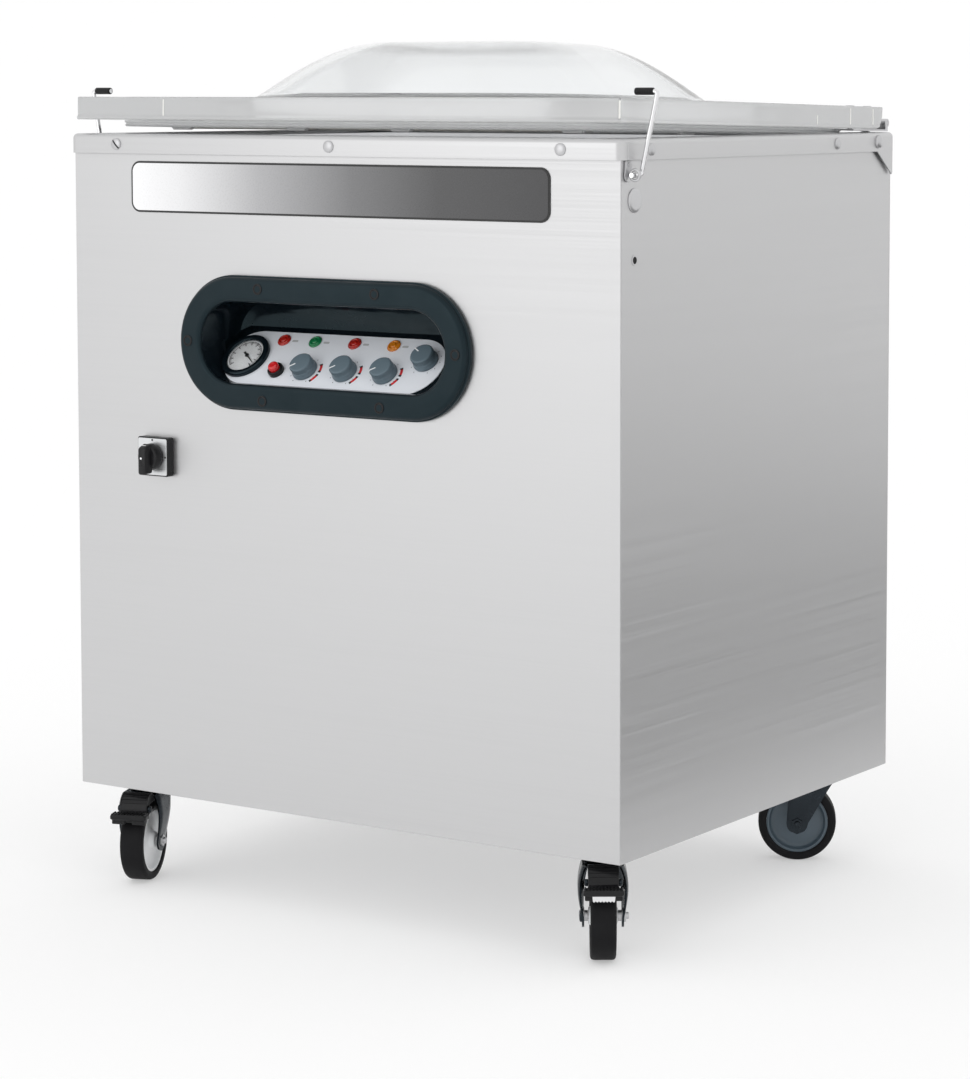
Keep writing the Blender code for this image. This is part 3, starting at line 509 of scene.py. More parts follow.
def cover_screws():
    spots = random.Random(4)
    z = SKIRT_Z + 0.0115
    front_y = FACE_Y - (COVER_HIGH.x - HALF_W)
    for i, x in enumerate((-0.329, -0.002, 0.323), 1):
        screw(f"cover_screw_front_{i}", (x, front_y, z), -Y, 0.0072, 0.0026, spots.uniform(0, 180))
    for i, x in enumerate((-0.25, 0.0, 0.25), 1):
        rear_y = BACK_Y + (COVER_HIGH.x - HALF_W)
        screw(f"cover_screw_rear_{i}", (x, rear_y, z), Y, 0.0072, 0.0026, spots.uniform(0, 180))
    for side, sign in (("left", -1), ("right", 1)):
        x = sign * COVER_HIGH.x
        for i, y in enumerate((0.0582, 0.4983), 1):
            at = (x, FACE_Y + y, z)
            screw(f"cover_screw_{side}_{i}", at, sign * X, 0.0072, 0.0026, spots.uniform(0, 180))
        screw(f"hinge_bolt_{side}", (x, FACE_Y + 0.6075, z + 0.001), sign * X, 0.0085, 0.0045, 95)
        lap = block(bmesh.new(), (x - 0.0006, FACE_Y + 0.0075, SKIRT_Z),
                    (x + 0.0006, FACE_Y + 0.034, DECK_Z - 0.0058))
        piece("cover_corner_lap_" + side, lap, STEEL_X, "cabinet", "stainless", bevel=0.0005)


def side_fittings():
    """Round plug and small hole near the front of each side; the hole is a rim round a flat near-black disc
    of painted shade.
    """
    for side, sign in (("left", -1), ("right", 1)):
        at = Vector((sign * HALF_W, FACE_Y + 0.029, BASE_Z + 0.748))
        profile = fillet([(0, 0), (0.014, 0), (0.0138, 0.0012), (0.0105, 0.0020), (0, 0.0022)], 0.0006)
        turned(f"side_plug_{side}", profile, 40, STEEL_SMALL, "cabinet", "stainless",
               matrix=axes(at, sign * X, Y))
        at.z = BASE_Z + 0.681
        rim = [(0.0058, 0.0), (0.0058, 0.0006), (0.0042, 0.0006), (0.0042, 0.0)]
        turned(f"side_hole_rim_{side}", rim, 28, STEEL_SMALL, "cabinet", "stainless",
               matrix=axes(at, sign * X, Y))
        # Flat near-black disc inside the rim: painted shade standing for the hole's depth.
        dark = [(0, 0), (0.0042, 0), (0.0042, 0.0003), (0, 0.0003)]
        turned(f"side_hole_{side}", dark, 28, HOLE_SHADE_DISC, "cabinet", "black_plastic",
               matrix=axes(at, sign * X, Y))


def nameplate():
    """Black-edged strip whose film shades from white to near black."""
    low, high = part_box("nameplate")
    film = shader("graded_film", (0.4, 0.4, 0.4), 0.28, Coat_Weight=0.3, Coat_Roughness=0.1)
    where = film.node_tree.nodes.new("ShaderNodeTexCoord")
    split = film.node_tree.nodes.new("ShaderNodeSeparateXYZ")
    film.node_tree.links.new(where.outputs["Generated"], split.inputs["Vector"])
    stops = ((0.0, (0.93, 0.93, 0.94)), (0.12, (0.80, 0.80, 0.81)), (0.32, (0.42, 0.42, 0.43)))
    stops += ((0.55, (0.16, 0.16, 0.165)), (0.75, (0.05, 0.05, 0.052)), (1.0, (0.022, 0.022, 0.024)))
    shade = ramp(film, split.outputs["X"], stops)
    film.node_tree.links.new(shade.outputs["Color"],
                             film.node_tree.nodes["Principled BSDF"].inputs["Base Color"])
    vary_roughness(film, 0.24, 0.34, 500.0)
    bump(film, 1500.0, 0.00001, strength=0.3)
    for name, inset, depth, look in (("nameplate_edge", 0, 0.0009, BLACK_PRINT),
                                     ("nameplate_film", 0.0024, 0.0012, film)):
        outline = rounded(low.x + inset, high.x - inset, low.z + inset, high.z - inset, 0.013 - inset, 10)
        rings = [upright(outline, high.y), upright(outline, high.y - depth)]
        replaced = ("nameplate",) if inset else ()
        piece(name, loft(bmesh.new(), rings), look, "cabinet", "printed_film", replaced)


# ---------------------------------------------------------------- controls
def control_bezel():
    """Moulded surround with a stepped edge, six screw plugs and a sloping recess."""
    low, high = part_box("control_bezel")
    mid_x, mid_z = (low.x + high.x) / 2 - 0.0030, (low.z + high.z) / 2 + 0.0010
    half_x, half_z = (high.x - low.x) / 2 + 0.0008, (high.z - low.z) / 2 - 0.0012
    open_x, open_z = half_x - 0.0330, half_z - 0.0320
    sill = half_z - 0.028

    def ring(shrink, y):
        a, b = half_x - shrink, half_z - shrink
        return upright(rounded(mid_x - a, mid_x + a, mid_z - b, mid_z + b, b - 1e-4, 20), y)

    def inner(grow, y):
        a, b = open_x + grow, open_z + grow
        return upright(rounded(mid_x - a, mid_x + a, mid_z - b, mid_z + b, b - 1e-4, 20), y)

    def slope(bm, drop):
        point = Vector((0, FACE_Y, mid_z - sill - drop * math.sqrt(2)))
        geom = list(bm.verts) + list(bm.edges) + list(bm.faces)
        bmesh.ops.bisect_plane(bm, geom=geom, plane_co=point, plane_no=(0, -1, 1), clear_inner=True)
        bmesh.ops.holes_fill(bm, edges=[edge for edge in bm.edges if edge.is_boundary])
        return bm

    face = low.y
    rings = [ring(0.0002, FACE_Y - 0.0003), ring(0, FACE_Y - 0.0008), ring(0, face + 0.0078)]
    rings += [ring(0.0006, face + 0.0070), ring(0.0016, face + 0.0068), ring(0.0018, face + 0.0060)]
    for i in range(1, 8):
        angle = math.radians(90 * i / 7)
        rings.append(ring(0.0018 + 0.006 * (1 - math.cos(angle)), face + 0.006 * (1 - math.sin(angle))))
    bezel = piece("bezel_moulding", loft(bmesh.new(), rings), BLACK_MOULDING, "cabinet",
                  "black_plastic", ("control_bezel",))
    bezel.data.materials.append(BLACK_GLOSS)
    shell = [inner(0.003, FACE_Y - 0.002), inner(0.003, high.y)]
    boolean(bezel, slope(loft(bmesh.new(), shell), 0.003), "UNION")
    hollow = [inner(0.0062, face - 0.001), inner(0.0050, face + 0.0002)]
    for i in range(1, 7):
        angle = math.radians(90 * i / 6)
        hollow.append(inner(0.0050 * (1 - math.sin(angle)), face + 0.0002 + 0.005 * (1 - math.cos(angle))))
    hollow += [inner(0, FACE_Y + 0.052), inner(-0.004, FACE_Y + 0.062), inner(-0.014, high.y - 0.003)]
    boolean(bezel, slope(loft(bmesh.new(), hollow), 0.0))
    for face_ in bezel.data.polygons:
        inside = abs(face_.center.x - mid_x) < open_x + 0.001 and abs(face_.center.z - mid_z) < open_z + 0.001
        if inside and face_.center.y > face + 0.006:
            face_.material_index = 1
    plugs = ((-0.090, 0.0660), (0.083, 0.0660), (0.1975, 0.0005), (0.0895, -0.0665), (-0.084, -0.0680),
             (-0.1980, 0.0))
    for i, (dx, dz) in enumerate(plugs, 1):
        profile = [(0.0066, 0), (0.0066, 0.0007), (0.0054, 0.0009), (0.0050, 0.0003), (0.0040, 0.0003),
                   (0.0038, 0)]
        at = Vector((mid_x + dx, face, mid_z + dz))
        turned(f"bezel_plug_ring_{i}", profile, 28, BLACK_PLASTIC, "cabinet",
               "black_plastic", matrix=axes(at, -Y, X))
        cap = [(0, 0), (0.0040, 0), (0.0040, 0.0004), (0, 0.0006)]
        turned(f"bezel_plug_{i}", cap, 24, BLACK_MOULDING, "cabinet",
               "black_plastic", matrix=axes(at, -Y, X))


NORMAL = Vector((0, -1, 1)).normalized()
SLOPE = Vector((0, 1, 1)).normalized()
PANEL_SIZE = (0.326, 0.086, 0.002)
KNOB_1_AT = (-0.0355, 0.0282)


def on_panel(u, s, height=0.0):
    """Point on the fascia: across from its middle, up from its lower edge, off its face."""
    knob = Vector(JOINTS["knob_1_turn"]["pos_m"]) - NORMAL * 0.0003
    return knob + X * (u - KNOB_1_AT[0]) + SLOPE * (s - KNOB_1_AT[1]) + NORMAL * height


def panel_frame(u=0.0, s=0.0, height=0.0):
    return axes(on_panel(u, s, height), NORMAL, X)


def print_arc(name, matrix, radius, width, start, end, look, height=FILM):
    """A printed stroke along an arc, in degrees anticlockwise from the right."""
    steps = max(2, int(abs(end - start) / 6))
    outer = arc(0, 0, radius + width / 2, start, end, steps)
    inner = arc(0, 0, radius - width / 2, end, start, steps)
    bm = loft(bmesh.new(), [flat(outer + inner, 0), flat(outer + inner, height)])
    return piece(name, bm, look, "cabinet", "printed_film", matrix=matrix)


def print_ticks(name, matrix, radius, length, width, angles, look, height=FILM):
    """Short radial strokes as one piece."""
    bm = bmesh.new()
    for angle in angles:
        turn = Matrix.Rotation(math.radians(angle), 4, "Z")
        block(bm, (radius, -width / 2, 0), (radius + length, width / 2, height), turn)
    return piece(name, bm, look, "cabinet", "printed_film", matrix=matrix)


def control_panel():
    width, height, thick = PANEL_SIZE
    outline = rounded(-width / 2, width / 2, 0, height, height / 2 - 1e-4, 24)
    small = rounded(-width / 2 + 0.0004, width / 2 - 0.0004, 0.0004, height - 0.0004, height / 2 - 5e-4, 24)
    rings = [flat(outline, -thick), flat(outline, -0.0004), flat(small, 0)]
    piece("fascia_plate", loft(bmesh.new(), rings), SILVER, "cabinet", "silver_fascia",
          ("control_panel",), matrix=panel_frame(-PANEL_LEFT))
    gauge()
    lamps()
    stop_button()
    knobs()


def gauge():
    """Dial gauge: black ring, white dial with ticks, needle on its joint, domed glass."""
    low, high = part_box("gauge_case")
    spot = (low + high) / 2
    offset = spot - on_panel(0, 0)
    u, s = offset.dot(X), offset.dot(SLOPE)
    u -= DIAL_LEFT
    ring = [(0.0322, 0), (0.0322, 0.0034), (0.0318, 0.0046), (0.0308, 0.0055), (0.0296, 0.0058)]
    ring += [(0.0262, 0.0058), (0.0252, 0.0053), (0.0246, 0.0042), (0.0242, 0.0026), (0.0241, 0)]
    turned("gauge_ring", fillet(ring, 0.0004), 72, BLACK_GLOSS, "cabinet",
           "black_plastic", ("gauge_case",), matrix=panel_frame(u, s, 0.0003))
    dial = [(0, 0), (0.0240, 0), (0.0240, 0.0024), (0, 0.0024)]
    turned("gauge_dial", dial, 64, WHITE_PRINT, "cabinet", "printed_film",
           matrix=panel_frame(u, s, 0.0003))
    top = 0.0027
    scale = [225 - 270 * i / 50 for i in range(51)]
    print_ticks("gauge_ticks_fine", panel_frame(u, s, top), 0.0192, 0.0030, 0.0006, scale, BLACK_PRINT)
    print_ticks("gauge_ticks_main", panel_frame(u, s, top), 0.0166, 0.0056, 0.0013, scale[::5], BLACK_PRINT)
    print_arc("gauge_scale_line", panel_frame(u, s, top), 0.0218, 0.0005, -45, 225, BLACK_PRINT)
    joint = JOINTS["gauge_needle_turn"]
    matrix = axes(joint["pos_m"], NORMAL, X) @ Matrix.Rotation(math.radians(-127), 4, "Z")
    outline = [(-0.0016, -0.0080), (0.0016, -0.0080), (0.0009, 0.0), (0.0004, 0.0180), (-0.0004, 0.0180),
               (-0.0009, 0)]
    piece("needle_pointer", loft(bmesh.new(), [flat(outline, -0.0002), flat(outline, 0.0002)]), BLACK_PRINT,
          "gauge_needle", "black_plastic", ("gauge_needle",), matrix=matrix)
    hub = fillet([(0, -0.0004), (0.0026, -0.0004), (0.0026, 0.0008), (0.0012, 0.0014), (0, 0.0014)], 0.0003)
    turned("needle_hub", hub, 24, BLACK_PLASTIC, "gauge_needle", "black_plastic", matrix=matrix)
    glass = [(0, 0.0046), (0.0246, 0.0046), (0.0246, 0.0050)]
    glass += [(0.0246 * math.cos(math.radians(d)), 0.0050 + 0.0007 * math.sin(math.radians(d)))
              for d in (30, 55, 75)]
    glass.append((0, 0.0057))
    turned("gauge_glass", glass, 48, clear("gauge_glass", (0.96, 0.98, 0.98), 0.02, 0.15),
           "cabinet", "clear_acrylic", matrix=panel_frame(u, s, 0.0003))


def lamps():
    colours = {"red": (0.55, 0.020, 0.012), "green": (0.010, 0.26, 0.085), "amber": (0.80, 0.25, 0.010)}
    looks = {tint: lens("lens_" + tint, colour) for tint, colour in colours.items()}
    for i, tint in enumerate(("red", "green", "red", "amber"), 1):
        node = f"lamp_{i}_{tint}"
        offset = centre(node) - on_panel(0, 0)
        u, s = offset.dot(X), offset.dot(SLOPE)
        skirt = [(0, 0.0003), (0.0078, 0.0003), (0.0078, 0.0012), (0.0071, 0.0018), (0.0064, 0.0019)]
        skirt += [(0.0062, 0.0027), (0.0058, 0.0032), (0.0048, 0.0032), (0.0044, 0.0026), (0.0034, 0.0026)]
        skirt += [(0.0030, 0.0035), (0.0020, 0.0039), (0, 0.0040)]
        skirt = [(radius * 1.14, height) for radius, height in skirt]
        piece(f"lamp_lens_{i}", lathe(bmesh.new(), fillet(skirt, 0.0003, 2), 40), looks[tint], "cabinet",
              {"red": "red_lens", "green": "green_lens", "amber": "amber_lens"}[tint], (node,),
              matrix=panel_frame(u, s))
        mark = rounded(0.012, 0.021, -0.0016, 0.0016, 0.0015, 4)
        piece(f"lamp_mark_{i}", loft(bmesh.new(), [flat(mark, 0), flat(mark, FILM)]), GREY_PRINT, "cabinet",
              "printed_film", matrix=panel_frame(u, s))


def stop_button():
    joint = JOINTS["stop_button_press"]
    low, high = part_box("stop_button")
    offset = (low + high) / 2 - on_panel(0, 0)
    u, s = offset.dot(X), offset.dot(SLOPE)
    collar = [(0.0102, 0.0), (0.0102, 0.0046), (0.0096, 0.0060), (0.0084, 0.0066), (0.0076, 0.0064)]
    collar += [(0.0074, 0.0056), (0.0074, 0.0)]
    turned("button_collar", fillet(collar, 0.0004), 40, BLACK_PLASTIC, "cabinet",
           "black_plastic", matrix=panel_frame(u, s))
    red = moulded("red_button_cap", (0.60, 0.012, 0.016), 0.22, 700, 0.00002, Coat_Weight=0.5)
    base = 0.0043
    cap = [(0, base), (0.0068, base), (0.0068, base + 0.0058), (0.0060, base + 0.0076),
           (0.0042, base + 0.0084)]
    cap += [(0.0030, base + 0.0083), (0, base + 0.0079)]
    turned("button_cap", fillet(cap, 0.0006), 40, red, "stop_button", "red_button",
           ("stop_button",), matrix=panel_frame(u, s))


def knobs():
    turns = (-124, -124, -124, -60)
    profile = [(0, 0), (0.0160, 0), (0.0160, 0.0030), (0.0152, 0.0040), (0.0150, 0.0072), (0.0144, 0.0080)]
    profile += [(0.0142, 0.0142), (0.0134, 0.0153), (0.0118, 0.0155), (0, 0.0155)]
    for i, turn in enumerate(turns, 1):
        joint = JOINTS[f"knob_{i}_turn"]
        matrix = axes(joint["pos_m"], NORMAL, X)
        dial = lathe(bmesh.new(), fillet(profile, 0.0005), 72)
        body = f"knob_{i}"
        piece(f"knob_cap_{i}", dial, KNOB_GREY, body, "grey_knob", (body,), matrix=matrix)
        ribs = bmesh.new()
        for step in range(40):
            spin = Matrix.Rotation(math.tau * step / 40, 4, "Z")
            block(ribs, (0.0140, -0.00035, 0.0084), (0.01475, 0.00035, 0.0140), spin)
        piece(f"knob_grip_ribs_{i}", ribs, KNOB_GREY, body, "grey_knob", matrix=matrix)
        pointer = matrix @ Matrix.Rotation(-math.radians(turn), 4, "Z")
        bm = block(bmesh.new(), (-0.0007, 0.0055, 0.0150), (0.0007, 0.0137, 0.0159))
        piece(f"knob_pointer_{i}", bm, WHITE_PRINT, body, "printed_film", matrix=pointer, bevel=0.0002)
        side = block(bmesh.new(), (-0.0007, 0.0140, 0.0090), (0.0007, 0.01490, 0.0146))
        piece(f"knob_side_mark_{i}", side, WHITE_PRINT, body, "printed_film", matrix=pointer)
        face = matrix @ Matrix.Translation((0, 0, -0.0003))
        print_ticks(f"knob_dots_{i}", face, 0.0188, 0.0010, 0.0010, [240 - 30 * k for k in range(11)],
                    BLACK_PRINT)
        if i < 4:
            for k, (start, end) in enumerate(((-42, -20), (2, 24)), 1):
                print_arc(f"knob_band_{i}_{k}", face, 0.0214, 0.0034, start, end, RED_PRINT)
                for m, edge in enumerate((start - 7, end), 1):
                    print_arc(f"knob_band_end_{i}_{k}_{m}", face, 0.0214, 0.0036, edge, edge + 7, BLACK_PRINT)


# Half width, lower end, upper end and height off the dial, from the dial outwards.
SWITCH_HANDLE = (
    (0.0072, -0.0195, 0.0165, 0.0090),
    (0.0066, -0.0198, 0.0152, 0.0130),
    (0.0060, -0.0200, 0.0135, 0.0180),
    (0.0055, -0.0197, 0.0122, 0.0196),
    (0.0045, -0.0186, 0.0110, 0.0202),
)


def main_switch():
    low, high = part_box("switch_plate")
    mid = (low + high) / 2
    half = (high.x - low.x) / 2
    outer = rounded(mid.x - half, mid.x + half, mid.z - half, mid.z + half, 0.003, 6)
    step = half - 0.0015
    inner = rounded(mid.x - step, mid.x + step, mid.z - step, mid.z + step, 0.0022, 6)
    rings = [upright(outer, high.y), upright(outer, low.y + 0.0016), upright(inner, low.y + 0.0006)]
    piece("switch_box", loft(bmesh.new(), rings), BLACK_PLASTIC, "cabinet", "switch_body", ("switch_plate",))
    face = [upright(inner, low.y + 0.0006), upright(inner, low.y)]
    silver = brushed("switch_face_silver", (3, 3, 900), (0.70, 0.71, 0.72), (0.26, 0.36))
    piece("switch_face", loft(bmesh.new(), face), silver, "cabinet", "silver_fascia", bevel=0.0002)
    for i, (dx, dz) in enumerate(((0.0, 0.0205), (0.0205, 0.0)), 1):
        dot = [(0, 0), (0.0013, 0), (0.0013, FILM), (0, FILM)]
        at = Vector((mid.x + dx, low.y, mid.z + dz))
        turned(f"switch_dot_{i}", dot, 20, BLACK_PRINT, "cabinet", "printed_film",
               matrix=axes(at, -Y, X))
    at = JOINTS["main_switch_turn"]["pos_m"]
    matrix = axes(at, -Y, X)
    base = [(0, 0), (0.0165, 0), (0.0165, 0.0030), (0.0158, 0.0060), (0.0146, 0.0098), (0.0130, 0.0108),
            (0, 0.0110)]
    turned("switch_dial", fillet(base, 0.0008), 56, BLACK_PLASTIC, "main_switch",
           "black_plastic", ("switch_knob",), matrix=matrix)
    rings = []
    for half_x, bottom, top_z, depth in SWITCH_HANDLE:
        rings.append(flat(rounded(-half_x, half_x, bottom, top_z, min(half_x, 0.003) - 1e-4, 6), depth))
    piece("switch_handle", loft(bmesh.new(), rings), BLACK_PLASTIC, "main_switch", "black_plastic",
          matrix=matrix)
    dot = [(0, 0), (0.0014, 0), (0.0014, FILM), (0, FILM)]
    turned("switch_pointer_dot", dot, 24, WHITE_PRINT, "main_switch", "printed_film",
           matrix=matrix @ Matrix.Translation((-0.0010, -0.0005, 0.0202)))
    mark = block(bmesh.new(), (-0.0022, 0.0146, 0.0135), (0.0022, 0.0150, 0.0170),
                 Matrix.Translation((0, 0.0002, 0)))
    piece("switch_pointer_edge", mark, WHITE_PRINT, "main_switch", "printed_film", matrix=matrix,
          bevel=0.0001)


# ---------------------------------------------------------------- lid
LID_JOINT = JOINTS["lid_hinge"]
LID_OPEN = math.radians(1.22)
LID_PLACE = Matrix.Translation(LID_JOINT["pos_m"]) @ Matrix.Rotation(-LID_OPEN, 4, "X")
CLOSED_LOW = 0.0035 - 0.0115  # underside of the closed slab, from the hinge axis
LID_THICK = 0.028
DOME_BASE = (0.260, 0.210, 0.120)
DOME_TOP = (0.120, 0.075, 0.050)
DOME_H = 0.073
DOME_WALL = 0.005
# Places of the white strips inside the slab's edges: painted highlight lines for the bright lines the clear
# edges show.
HIGHLIGHT_LINES_FRONT = (-0.258, 0.3975)
HIGHLIGHT_LINES_SIDE = (0.5416, 0.602)
HIGHLIGHT_LINE_SHORT = 0.4556


def lid():
    """Acrylic slab and dome as one moulding, in the closed lid's own frame at the hinge."""
    hinge_y = LID_JOINT["pos_m"][1]
    front, rear = FACE_Y - hinge_y, BACK_Y - 0.017 - hinge_y
    dome_y = MIDDLE_Y - 0.015 - hinge_y
    low, top = CLOSED_LOW, CLOSED_LOW + LID_THICK

    def dome(u, shrink=0.0):
        eased = max(u, 0.0)
        a, b, r = (p + (q - p) * eased for p, q in zip(DOME_BASE, DOME_TOP))
        if u < 0:
            a, b, r = (v - u * 0.14 for v in (a, b, r))
        a, b = a - shrink, b - shrink
        return rounded(-a, a, dome_y - b, dome_y + b, r - shrink * 0.5, 14)

    def height(u):
        return DOME_H * math.sin(max(u, 0.0) * math.pi / 2)

    def slab(inset, z, rear_in=0.0, radius=0.006):
        x = HALF_W - inset
        return flat(rounded(-x, x, front + inset, rear - inset - rear_in, radius - inset, 14), z)

    steps = 28
    levels = [1 - (i / steps) for i in range(steps + 1)]
    rings = [flat(dome(u, DOME_WALL), top + height(u) - DOME_WALL) for u in levels]
    rings.append(flat(dome(0, DOME_WALL - 0.001), top - DOME_WALL - 0.003))
    rings.append(flat(dome(0, DOME_WALL - 0.002), low + 0.001))
    rings.append(flat(dome(0, DOME_WALL - 0.003), low))
    edge = 0.0012
    rings.append(slab(edge, low, 0.0148))
    step = 0.0010
    for i in range(9):
        angle = math.radians(90 * i / 8)
        height_up = 0.0210 * (1 - math.cos(angle))
        rear_in = 0.0148 * (1 - math.sin(angle))
        if i == 3:
            rings.append(slab(0, low + edge + height_up - 0.0012, rear_in))
        rings.append(slab(step if i > 2 else 0, low + edge + height_up, rear_in))
    rings += [slab(step, top - edge), slab(step + edge * 0.3, top - edge * 0.3), slab(step + edge, top)]
    rings.append(flat(dome(-0.06), top))
    rings.append(flat(dome(-0.02), top + 0.0004))
    rings += [flat(dome(u), top + height(u) + (0.0012 if u < 0.02 else 0.0)) for u in reversed(levels)]
    rings[-1] = flat(dome(1), top + DOME_H)
    acrylic = clear("clear_acrylic", (0.97, 0.98, 0.985), 0.03, 1.0)
    milky = shader("polished_acrylic_edge", (0.56, 0.57, 0.575), 0.16, IOR=1.49, Transmission_Weight=0.25)
    vary_colour(milky, (0.62, 0.625, 0.63), (0.67, 0.675, 0.68), 2.5, (1, 1, 0.4))
    vary_roughness(milky, 0.12, 0.22, 6.0)
    moulding = piece("lid_moulding", loft(bmesh.new(), rings), acrylic, "lid", "clear_acrylic", ("lid",),
                     matrix=LID_PLACE, smooth=40)
    mesh = moulding.data
    mesh.materials.append(milky)
    for face in mesh.polygons:
        outside = abs(face.center.x) > HALF_W - 0.002 or not front + 0.002 < face.center.y < rear - 0.018
        if outside and abs(face.normal.z) < 0.9 and face.center.z < top:
            face.material_index = 1
    lid_fittings(front, low, top)


def lid_fittings(front, low, top):
    """Seal, seal clips, white strips of painted highlight inside the slab's edges, and the screws that hold
    the hinge leaves.
    """
    seal_at = HALF_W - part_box("lid_seal")[1].x

    def outline(inset, radius, z):
        x = HALF_W - inset
        return flat(rounded(-x, x, front + inset, front + 0.650 - inset - 0.012, radius, 10), z)

    profile = ((0, 0.0003), (0, 0.0030), (0.0014, 0.0034), (0.0014, 0.0052), (0.0004, 0.0060),
               (0.0018, 0.0079))
    profile += ((0.0122, 0.0079), (0.0136, 0.0060), (0.0126, 0.0034), (0.0140, 0.0030), (0.0140, 0.0003))
    rings = [outline(seal_at + inward, 0.024 - inward * 0.7, low - drop) for inward, drop in profile]
    piece("seal_profile", loft(bmesh.new(), rings, caps=False), SEAL, "lid", "silicone", ("lid_seal",),
          matrix=LID_PLACE, smooth=50)
    clip_z = low - 0.0115
    inset = seal_at + 0.0185
    spots = [(x, front + inset, 0) for x in (-0.272, -0.093, 0.062, 0.303)]
    spots += [(HALF_W - inset, front + y, 90) for y in (0.233, 0.459)]
    for i, (x, y, turn) in enumerate(spots, 1):
        bm = bmesh.new()
        sides = [flat(rounded(-a, a, -0.004, 0.004, 0.0015, 3), z) for a, z in
                 ((0.0125, clip_z), (0.0155, clip_z + 0.003), (0.0155, low - 0.0003))]
        loft(bm, sides)
        place = LID_PLACE @ Matrix.Translation((x, y, 0)) @ Matrix.Rotation(math.radians(turn), 4, "Z")
        piece(f"seal_clip_{i}", bm, SEAL, "lid", "silicone", matrix=place, bevel=0.0005)
    # White strips inside the front and side edges, both upright and along the bottom: painted highlights
    # standing for bright lines in the clear acrylic.
    highlight_strips = bmesh.new()
    for x in HIGHLIGHT_LINES_FRONT:
        block(highlight_strips, (x - 0.0010, front + 0.0006, low + 0.005), (x + 0.0010, front + 0.0016, top - 0.003))
    for sign in (-1, 1):
        for y in HIGHLIGHT_LINES_SIDE:
            x0, x1 = sorted((sign * (HALF_W - 0.0006), sign * (HALF_W - 0.0016)))
            block(highlight_strips, (x0, front + y - 0.0012, low + 0.005), (x1, front + y + 0.0012, top - 0.003))
        x0, x1 = sorted((sign * (HALF_W - 0.0006), sign * (HALF_W - 0.0016)))
        short = front + HIGHLIGHT_LINE_SHORT
        block(highlight_strips, (x0, short - 0.0010, low + 0.0035), (x1, short + 0.0010, low + 0.0150))
        block(highlight_strips, (x0, short, low + 0.0018), (x1, front + HIGHLIGHT_LINES_SIDE[1] - 0.004, low + 0.0030))
    block(highlight_strips, (-0.372, front + 0.0006, low + 0.0018), (HALF_W - 0.008, front + 0.0014, low + 0.0032))
    piece("lid_edge_painted_highlights", highlight_strips, WHITE_SILICONE, "lid", "white_silicone", matrix=LID_PLACE)
    for side, sign in (("left", -1), ("right", 1)):
        for i, y in enumerate((0.571, 0.617), 1):
            shank = [(0, low - 0.0004), (0.0030, low - 0.0004), (0.0030, top - 0.0045),
                     (0.0062, top - 0.0012)]
            shank += [(0.0062, top + 0.0004), (0.0050, top + 0.0012), (0, top + 0.0014)]
            at = Matrix.Translation((sign * 0.3825, front + y, 0))
            turned(f"hinge_screw_{side}_{i}", fillet(shank, 0.0004), 28, SCREW_STEEL, "lid",
                   "stainless", matrix=LID_PLACE @ at)


# ---------------------------------------------------------------- latches
def tube(name, points, radius, look, body, replaces=(), sides=6):
    """Round bar along points, with the bends already in them."""
    curve = bpy.data.curves.new(name, "CURVE")
    curve.dimensions = "3D"
    curve.bevel_depth = radius
    curve.bevel_resolution = sides
    curve.use_fill_caps = True
    spline = curve.splines.new("POLY")
    spline.points.add(len(points) - 1)
    for slot_point, point in zip(spline.points, points):
        slot_point.co = (*point, 1)
    curve.materials.append(look)
    obj = bpy.data.objects.new(name, curve)
    bpy.context.collection.objects.link(obj)
    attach(obj, body)
    if replaces:
        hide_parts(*replaces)
    return obj


def bent(corners, radius, steps=7):
    """Straight runs between corners, with each corner rounded."""
    points = [Vector(corners[0])]
    for before, at, after in zip(corners, corners[1:], corners[2:]):
        before, at, after = Vector(before), Vector(at), Vector(after)
        entry = at + (before - at).normalized() * radius
        leave = at + (after - at).normalized() * radius
        for i in range(steps + 1):
            t = i / steps
            points.append(entry.lerp(at, t).lerp(at.lerp(leave, t), t))
    points.append(Vector(corners[-1]))
    return points


LATCH_FORWARD = {"left": 0.008, "right": 0.0}  # along the swing's own axis


def latches():
    for side, sign in (("left", -1), ("right", 1)):
        pivot = Vector(JOINTS[f"latch_{side}_swing"]["pos_m"]) - Y * LATCH_FORWARD[side]
        knee = pivot + Vector((sign * 0.0195, 0.016, 0.0928))
        end = knee - Vector((sign * 0.029, 0, 0))
        route = [pivot + Vector((0, -0.008, 0)), pivot + Vector((0, 0.013, 0)), knee, end]
        tube("hook_wire_" + side, bent(route, 0.005), 0.0028, BRIGHT_WIRE, "latch_" + side,
             ("latch_wire_" + side,))
        start = knee + Vector((-sign * 0.005, 0, 0))
        length = (end - start).length
        profile = [(0.0029, 0), (0.0036, 0.0002), (0.0042, 0.0010)]
        count = 7
        for i in range(count):
            z = 0.002 + (length - 0.004) * i / (count - 1)
            profile += [(0.0042, z - 0.0006), (0.00385, z), (0.0042, z + 0.0006)]
        profile += [(0.0042, length - 0.0010), (0.0036, length - 0.0002), (0.0029, length)]
        turned("hook_grip_" + side, profile, 32, GRIP, "latch_" + side, "grip_rubber",
               ("latch_grip_" + side,), matrix=axes(start, end - start, Y))
        latch_eye(side, sign, pivot)


